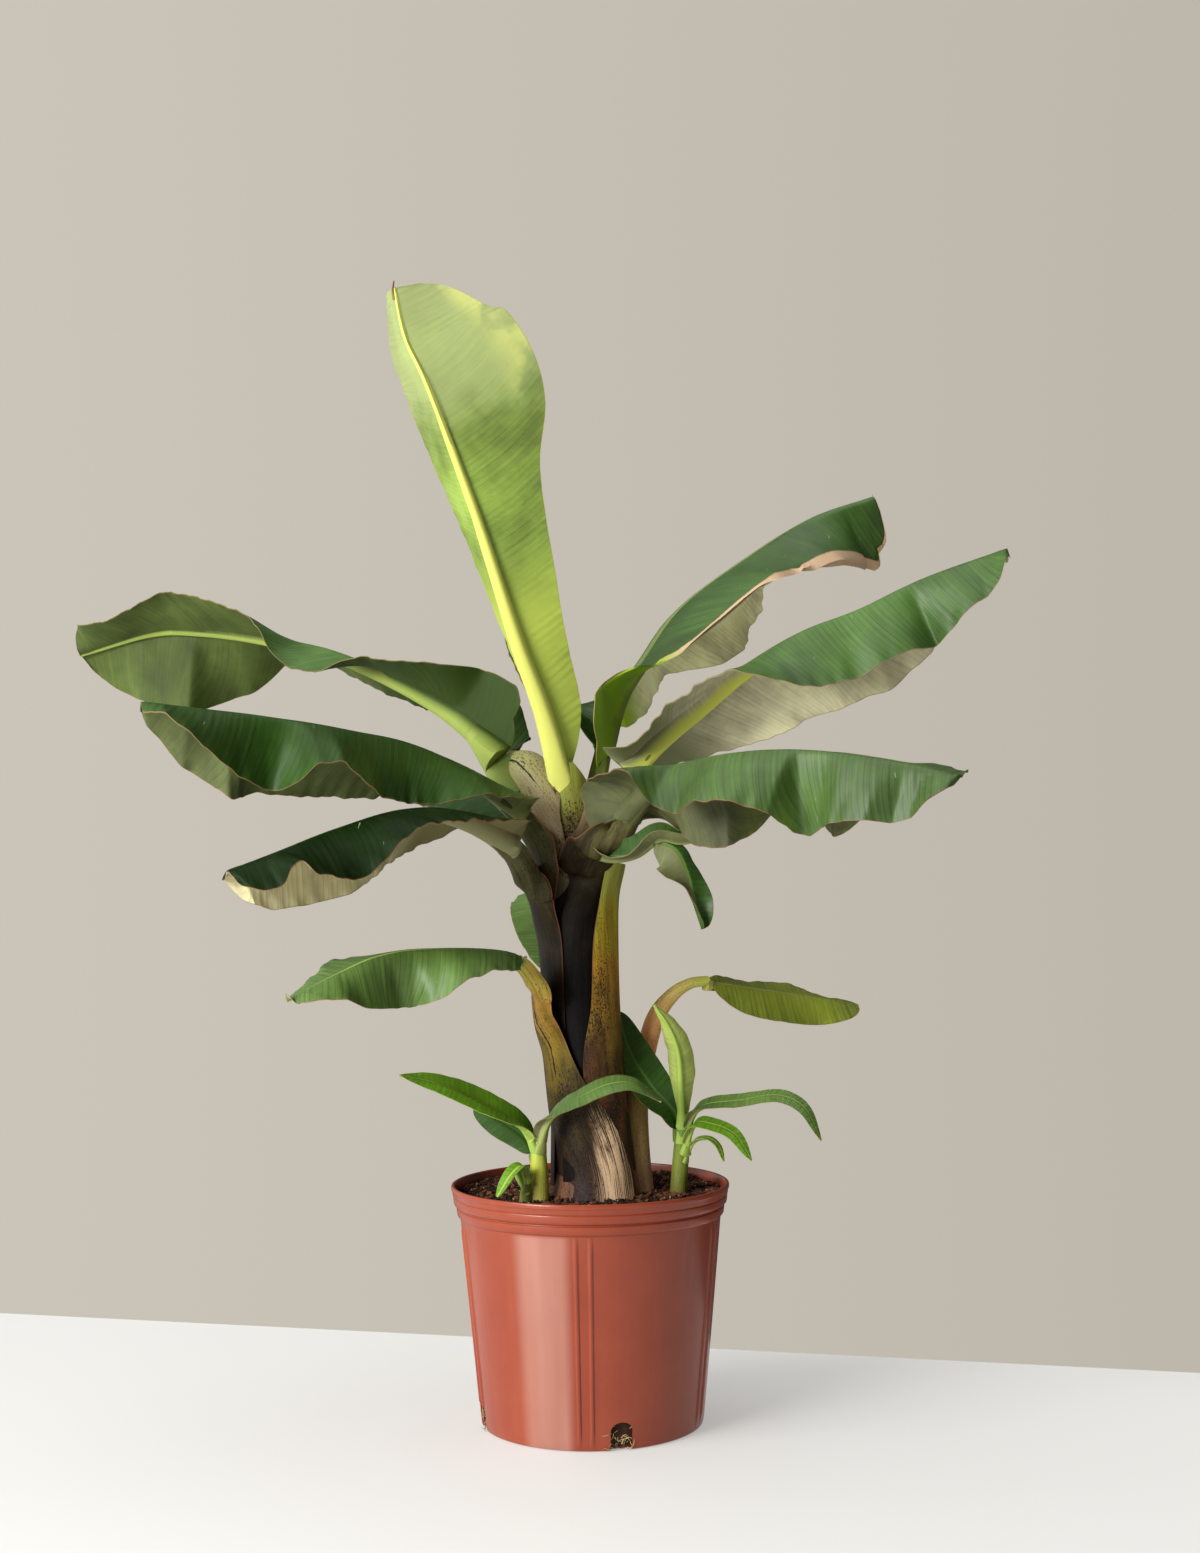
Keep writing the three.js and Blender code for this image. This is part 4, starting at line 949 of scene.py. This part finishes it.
def make_roots():
    """Fine roots that show in the drain holes."""
    rng = random.Random(5)
    points, faces = [], []
    steps, sides = 8, 5
    turns = [2 * math.pi * k / sides for k in range(sides)]
    for root in range(ROOTS_PER_HOLE * HOLES):
        middle = FIRST_HOLE_DEG + 360 / HOLES * (root // ROOTS_PER_HOLE)
        thick = rng.uniform(0.25, 0.7)
        turn = math.radians(middle + rng.uniform(-4.6, 4.6))
        outward = Vector((math.cos(turn), math.sin(turn), 0))
        spot = outward * (FOOT_RADIUS - 3) + Vector((0, 0, rng.uniform(2.5, 20)))
        going = Vector([rng.uniform(-1, 1) for _ in range(3)]).normalized()
        faces += ring_faces(steps, sides, len(points), capped=True)
        for i in range(steps):
            going = (going + 0.6 * Vector([rng.uniform(-1, 1) for _ in range(3)])).normalized()
            spot = spot + going * 1.9
            reach = spot.dot(outward)
            spot += outward * (min(max(reach, FOOT_RADIUS - 4), FOOT_RADIUS + 1.5) - reach)
            spot.z = min(max(spot.z, 1.2), 21)
            aside = going.orthogonal().normalized()
            other = going.cross(aside)
            size = thick * (1 - 0.7 * i / (steps - 1))
            points += [spot + (aside * math.cos(a) + other * math.sin(a)) * size for a in turns]
    roots = new_object("pot_roots", points, faces)
    sh = Shader("fine_roots")
    tone = sh.ramp(sh.noise(sh.place(), 60), [(0.4, (112, 84, 46)), (0.6, (190, 164, 112))])
    roots.data.materials.append(sh.finish(tone, 0.7))
    return roots


# Trunk and stems

def trunk_core():
    """The trunk inside its sheaths, an oval tube."""
    share = np.linspace(0, 1, 90)
    x, y, z, wide, deep = along(TRUNK, share).T[..., None]
    turn = 2 * np.pi * np.arange(96) / 96
    rings = np.stack([x + wide * np.cos(turn), y + deep * np.sin(turn), z + 0 * turn], -1)
    maps = {"sheath": pairs(z, turn * wide) * MM, "share": pairs(share[:, None], 0.5 + 0 * turn)}
    return tube("trunk_core", rings, maps)


def stem_mesh(name, path, radius):
    """A round stem along a path, slightly oval and turning."""
    share = np.linspace(0, 1, 60)[:, None]
    spot, heading, length, t = walk(path, share[:, 0])
    normal = squared([0, -1, 0.2], heading)
    left = np.cross(normal, heading)
    rho = along(radius, t)[:, None]
    turn = 2 * np.pi * np.arange(32) / 32
    size = rho * (1 + 0.05 * np.cos(2 * turn + 3 * share))
    rings = (spot[:, None] + left[:, None] * (np.cos(turn) * size)[..., None]
             + normal[:, None] * (np.sin(turn) * size)[..., None])
    maps = {"sheath": pairs(share * length, rho * turn) * MM, "share": pairs(share, 0.5 + 0 * turn)}
    return tube(name, rings, maps)


def sheath_mesh(name, stations):
    """A shell along a spine. Each station holds its back's place, the direction inwards, its radius, the
    degrees that it wraps to either side, its thickness, how straight its sides are and how solid it is."""
    spacing, columns = 2.5, 44
    stations = np.array(stations, float)
    reach = np.concatenate([[0], np.cumsum(np.linalg.norm(np.diff(stations[:, :3], axis=0), axis=1))])
    length = reach[-1]
    share = np.linspace(0, 1, int(length / spacing))
    table = np.stack([np.interp(share * length, reach, column) for column in stations.T], 1)
    table = eased(table, int(22 / spacing))
    spot = table[:, :3]
    heading = unit(np.gradient(spot, axis=0))
    normal = squared(table[:, 3:6], heading)
    left = np.cross(normal, heading)
    rho, low, high, thickness, straight, solid = table[:, 6:].T[..., None]
    f = np.linspace(0, 1, columns + 1)
    turn = np.radians((low + high) * f - low)
    bent = np.clip(turn, -math.pi / 2, math.pi / 2)
    margin = np.abs(2 * f - 1)
    share = share[:, None]

    def spread(radius):
        """How wide and deep points lie on the wrapped arc, or on straight sides past a quarter turn."""
        wide = radius * np.sin(turn)
        deep = rho - radius * np.cos(turn)
        flat_wide = radius * np.sin(bent)
        flat_deep = rho - radius * np.cos(bent) + rho * (np.abs(turn) - np.abs(bent))
        return wide + (flat_wide - wide) * straight, deep + (flat_deep - deep) * straight

    def placed(wide, deep):
        return spot[:, None] + left[:, None] * wide[..., None] + normal[:, None] * deep[..., None]

    def both_ways(values):
        return np.concatenate([values, values[:, ::-1]], 1)

    wide, deep = spread(rho - thickness * np.clip((1 - margin) * 4, 0.12, 1))
    full_deep = rho * (1 + np.radians(np.minimum(low, high) - 90)) - 0.85 * rho * (1 - margin ** 2)
    inner = placed(wide + (0.96 * rho * (2 * f - 1) - wide) * solid, deep + (full_deep - deep) * solid)
    rings = np.concatenate([placed(*spread(rho)), inner[:, ::-1]], 1)
    maps = {"sheath": both_ways(pairs(share * length, rho * turn) * MM),
            "share": both_ways(pairs(share, margin))}
    return tube(name, rings, maps)


# Leaf sheaths round the trunk. trunk: height, degrees round from the front towards the right, and how far
# the back stands out from the core. free: the middle's x, y and z, the radius and the degrees round.
# stalk: shares along the leaf where the sheath runs on under its stalk. low and high: degrees that it
# wraps to either side at each of those places, high as low if not given. tones: colours from foot to top.
# thick: the shell's thickness. crack: from which share to which, and how far from the back, a slit of
# painted shade runs, near black. foot: the colour of dry fibres near the soil. The other keys are those of
# bark_material.
SHEATHS = [
    dict(leaf="leaf_small_left",
         trunk=[(199, 6, 8), (225, 2, 6.5), (255, -8, 6), (290, -26, 6.5), (320, -32, 7), (345, -38, 8)],
         free=[(-27, -19, 368, 23, -44), (-34, -30, 386, 18, -46)], stalk=[0.13, 0.17, 0.2],
         low=[70, 75, 75, 85, 90, 90, 90, 95, 110, 125, 140, 150, 150],
         high=[50, 56, 50, 36, 21, 14, 32, 50, 110, 130, 150, 150, 150], thick=3.5,
         tones=[(66, 42, 28), (52, 36, 18), (66, 54, 10), (120, 100, 26), (204, 156, 70), (200, 186, 84)],
         speck=0.95, edge=(176, 112, 84), foot=(255, 216, 172), crack=(0.45, 0.72, -8), gloss=0.16),
    dict(leaf="leaf_curled_right",
         trunk=[(199, 60, 7), (250, 58, 4.5), (330, 57, 4), (380, 55, 4), (440, 50, 5), (478, 48, 8),
                (508, 54, 19)], low=[50, 60, 60, 40, 28, 14, 14], high=[80, 90, 90, 90, 90, 66, 30],
         tones=[(90, 54, 34), (86, 50, 28), (112, 68, 32), (72, 46, 18), (136, 104, 32), (180, 132, 36),
                (178, 160, 32), (164, 168, 70)], speck=0.9, edge=(126, 80, 50), foot=(150, 100, 80)),
    dict(leaf="leaf_lower_left",
         trunk=[(199, -62, 9), (235, -62, 4), (300, -60, 3.5), (380, -56, 4), (430, -54, 5)],
         free=[(-24, -10, 460, 27, -58), (-38, -26, 480, 20, -56)], stalk=[0.11, 0.15, 0.19],
         low=[90, 90, 90, 90, 95, 100, 105, 120, 135, 150, 150, 150],
         high=[36, 34, 32, 31, 31, 50, 80, 130, 150, 165, 160, 150], thick=3.5,
         tones=[(128, 88, 62), (40, 24, 15), (20, 12, 8), (26, 18, 10), (60, 52, 28), (104, 104, 66)],
         speck=0.7, edge=(128, 64, 46), gloss=0.14),
    dict(leaf="leaf_third_right", trunk=[(199, 14, 2.5), (300, 14, 2), (400, 14, 2), (450, 18, 3)],
         free=[(-3, -2, 488, 31, 38), (1, -16, 505, 28, 44), (10, -34, 518, 24, 47)],
         stalk=[0.13, 0.16, 0.19], low=[60, 60, 60, 62, 94, 110, 130, 175, 180, 175, 160, 150],
         high=[80, 80, 80, 80, 85, 90, 90, 110, 130, 150, 150, 150], thick=3.5,
         # Its near-black tones are painted shade, where the middle of the trunk lies in deep shade.
         tones=[(24, 14, 9), (5, 3, 2), (5, 3, 2), (5, 3, 2), (8, 5, 3), (32, 24, 14), (60, 54, 28),
                (96, 94, 54)], speck=0.5, edge=(130, 70, 48), gloss=0.1),
    dict(leaf="leaf_mid_left", trunk=[(300, -66, 1.5), (400, -66, 1.5), (470, -62, 3)],
         free=[(-22, -8, 500, 27, -60), (-33, -18, 520, 20, -58)], stalk=[0.06, 0.085, 0.11],
         low=[90, 90, 95, 95, 100, 110, 120, 140, 150, 150],
         high=[30, 30, 26, 54, 70, 130, 150, 160, 150, 150], thick=3.5,
         tones=[(16, 9, 6), (22, 13, 8), (40, 30, 16), (64, 56, 30), (80, 84, 48)], speck=0.8,
         edge=(150, 70, 50), streaks=0.3, gloss=0.14),
    dict(leaf="leaf_top", trunk=[(450, 10, -7), (500, 12, -5), (545, 16, 4), (574, 8, 9), (600, 0, 9)],
         low=[70, 66, 70, 60, 12], high=[80, 80, 80, 60, 12], thick=2.5,
         tones=[(14, 9, 6), (34, 22, 15), (104, 78, 54), (134, 132, 56), (140, 150, 60)], speck=0.9,
         edge=(60, 40, 28), streaks=0.3, gloss=0.14),
    dict(leaf="leaf_second_right", trunk=[(400, 52, -2), (480, 48, -3), (516, 44, 0)],
         free=[(-3, -4, 536, 21, 46), (7, -6, 556, 15, 52)], stalk=[0.05, 0.08, 0.11],
         low=[70, 66, 66, 76, 90, 110, 130, 150, 150, 150],
         high=[80, 80, 80, 90, 100, 120, 130, 150, 150, 150],
         tones=[(50, 34, 24), (84, 62, 44), (118, 100, 64), (140, 146, 66)], speck=0.6, streaks=0.25),
    dict(leaf="leaf_upper_left", trunk=[(400, -44, -1), (480, -40, -2.5)],
         free=[(-14, -5, 522, 24, -35), (-26, -1, 550, 25, -40), (-38, 4, 572, 24, -45),
                (-54, 10, 592, 21, -52)], stalk=[0.118, 0.119],
         low=[80, 80, 86, 90, 95, 100, 120, 140, 150, 150],
         high=[50, 34, 24, 50, 100, 105, 120, 130, 150, 150],
         tones=[(34, 22, 16), (70, 52, 36), (146, 126, 92), (156, 152, 98), (140, 156, 76)], speck=0.9,
         edge=(50, 32, 22), streaks=0.25, crack=(0.62, 0.86, 14)),
    dict(leaf="leaf_upper_right", trunk=[(470, 140, -4), (530, 140, -3)], stalk=[0.0, 0.04, 0.08, 0.124],
         low=[90, 90, 90, 100, 110, 120, 130, 150], thick=2.5,
         tones=[(150, 150, 80), (140, 156, 64), (130, 150, 60)], speck=0.5, edge=(120, 90, 50)),
    dict(leaf="leaf_back_low", trunk=[(199, 180, 7), (250, 184, 4), (310, 186, 4)],
         free=[(-11, 12, 345, 26, 186)], stalk=[0.04, 0.09, 0.14],
         low=[80, 85, 90, 95, 110, 120, 130, 150, 150],
         tones=[(70, 48, 34), (50, 38, 24), (100, 92, 36), (140, 146, 76)], speck=0.8, edge=(120, 76, 50),
         foot=(200, 160, 120)),
    dict(leaf="leaf_back_left", trunk=[(199, 215, 4), (300, 212, 3), (400, 210, 3), (470, 208, 2)],
         free=[(-20, 8, 500, 24, 208)], stalk=[0.02, 0.08, 0.14],
         low=[80, 85, 90, 90, 95, 110, 120, 130, 150, 150],
         tones=[(60, 40, 28), (24, 15, 11), (50, 40, 24), (110, 112, 66)], speck=0.6),
    dict(leaf="leaf_back_right", trunk=[(199, 150, 5), (300, 150, 3.5), (400, 150, 3), (470, 150, 2)],
         free=[(-4, 6, 496, 24, 152)], stalk=[0.02, 0.08, 0.14],
         low=[80, 85, 90, 90, 95, 110, 120, 130, 150, 150],
         tones=[(60, 40, 28), (40, 28, 18), (80, 66, 30), (120, 124, 70)], speck=0.7),
    dict(leaf="leaf_back_upper", trunk=[(470, 190, -4), (530, 190, -3)], stalk=[0.0, 0.05, 0.1, 0.14],
         low=[90, 90, 90, 100, 110, 120, 130, 150], thick=2.5,
         tones=[(130, 120, 80), (110, 130, 50), (110, 140, 60)], speck=0.5, edge=(120, 90, 50)),
]


def sheath_piece(data, leaf):
    """The sheath that a leaf's stalk widens into, down the trunk."""
    lows = data["low"]
    highs = data.get("high", lows)
    thick = data.get("thick", 3.0)
    rows = []
    for z, azimuth, proud in data["trunk"]:
        x, y, r = (np.interp(z, TRUNK[:, 2], TRUNK[:, i]) for i in (0, 1, 3))
        rows.append([x, y, z, r + proud, azimuth])
    rows += data.get("free", [])
    rows = np.array([[*row, low, high] for row, low, high in zip(rows, lows, highs)], float)
    climb = rows[-1, 2] - rows[0, 2]
    stations = []
    for x, y, z, radius, azimuth, low, high in along(rows, np.linspace(0, 1, max(2, int(climb / 8)))):
        a = math.radians(azimuth)
        outward = np.array([math.sin(a), -math.cos(a), 0])
        stations.append([*(np.array([x, y, z]) + outward * radius), *-outward, radius, low, high,
                         thick, 0, 0])
    if "stalk" in data:
        fine = np.linspace(0, 1, 24)
        stalk = np.array([*data["stalk"], leaf["petiole"], leaf["petiole"] + 0.07])
        place = np.linspace(0, 1, len(stalk))
        shares = np.interp(fine, place, stalk)
        spot, _, normal, rib = midrib(leaf, shares)
        sunk = np.interp(shares, stalk[-2:], [180, 100])
        low, high = (np.minimum(np.interp(fine, place, side[-len(stalk):]), sunk) for side in (lows, highs))
        # The end sinks into the midrib that it carries.
        grown = np.interp(shares, [stalk[0], stalk[-2], stalk[-1]], [1.15, 1.07, 0.86])
        for i in range(len(shares)):
            solid = min(1, 1.2 * fine[i]) ** 0.7
            stations.append([*(spot[i] - normal[i] * rib[i] * (1 + grown[i])), *normal[i],
                             rib[i] * grown[i], low[i], high[i], thick, solid, solid])
    made = sheath_mesh("sheath_" + leaf["name"][5:], stations)
    keys = data.keys() & {"speck", "edge", "streaks", "gloss", "foot", "crack"}
    looks = {key: data[key] for key in keys}
    made.data.materials.append(bark_material(made.name, data["tones"], **looks))
    return made


# Round stems: a path through their middles, the radius along it and the colours from foot to top.
STEMS = [
    dict(name="shoot_right", path=[[43, 10, 198], [42, 13, 240], [43, 20, 285], [50, 32, 325]],
         radius=[15.5, 13, 11.5, 9],
         tones=[(214, 172, 140), (190, 154, 96), (160, 140, 70), (130, 110, 50)]),
    dict(name="stalk_small_right", radius=[9, 8.5, 7, 5.5, 5],
         path=[[50, 32, 320], [62, 42, 360], [78, 54, 381], [96, 64, 392], [114, 72, 394]],
         tones=[(240, 150, 92), (255, 190, 120), (255, 226, 130), (214, 220, 96)]),
    dict(name="pup_left_stem", path=[[-46, -30, 198], [-46, -30, 225], [-46, -30, 258]],
         radius=[8.5, 8.5, 6.5], tones=[(206, 196, 104), (196, 200, 70), (186, 206, 84)]),
    dict(name="pup_low_stem", path=[[-59, -36, 198], [-58, -38, 214], [-54, -42, 232]],
         radius=[5, 4.5, 3.5], tones=[(140, 140, 80), (150, 170, 80), (160, 186, 90)]),
    dict(name="pup_right_stem", path=[[80, -5, 198], [82, -5, 226], [85, -6, 264]], radius=[7.5, 7.5, 7],
         tones=[(92, 92, 34), (134, 146, 56), (116, 150, 62)]),
    dict(name="leaf_top_spike", path=[[-165, -90, 1010], [-166, -91, 1018], [-165, -92, 1026]],
         radius=[1.8, 1.1, 0.5], tones=[(150, 130, 70), (120, 70, 40), (96, 56, 34)]),
]


def place_piece(obj, node=None):
    """Puts a piece on the plant's body. It stands for the CAD node of that name, if there is one."""
    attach(obj, "root")
    if node and node not in EXTRA_PARTS:
        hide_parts(node)


set_camera()
set_backdrop()
set_stage()

place_piece(make_pot(), "pot")
body, *loose = make_soil()
place_piece(body, "soil")
for extra in [*loose, make_roots()]:
    place_piece(extra)

core = trunk_core()
core.data.materials.append(bark_material("trunk_core", [(96, 66, 44), (38, 26, 22), (120, 110, 70)]))
place_piece(core, "pseudostem")

leaf_named = {leaf["name"]: leaf for leaf in LEAVES}
for data in SHEATHS:
    place_piece(sheath_piece(data, leaf_named[data["leaf"]]))

for stem in STEMS:
    made = stem_mesh(stem["name"] + "_round", stem["path"], stem["radius"])
    made.data.materials.append(bark_material(stem["name"], stem["tones"], speck=0.3, streaks=0.2))
    place_piece(made, stem["name"])

sheathed = {data["leaf"] for data in SHEATHS if "stalk" in data}
leaf_looks = {key: leaf_material(key) for key in LOOKS}
for number, leaf in enumerate(LEAVES):
    blade = leaf_mesh(leaf, number, leaf.get("begin", 0.96) if leaf["name"] in sheathed else 0)
    blade.data.materials.append(leaf_looks[leaf.get("look", leaf["name"][5:])])
    place_piece(blade, leaf["name"])
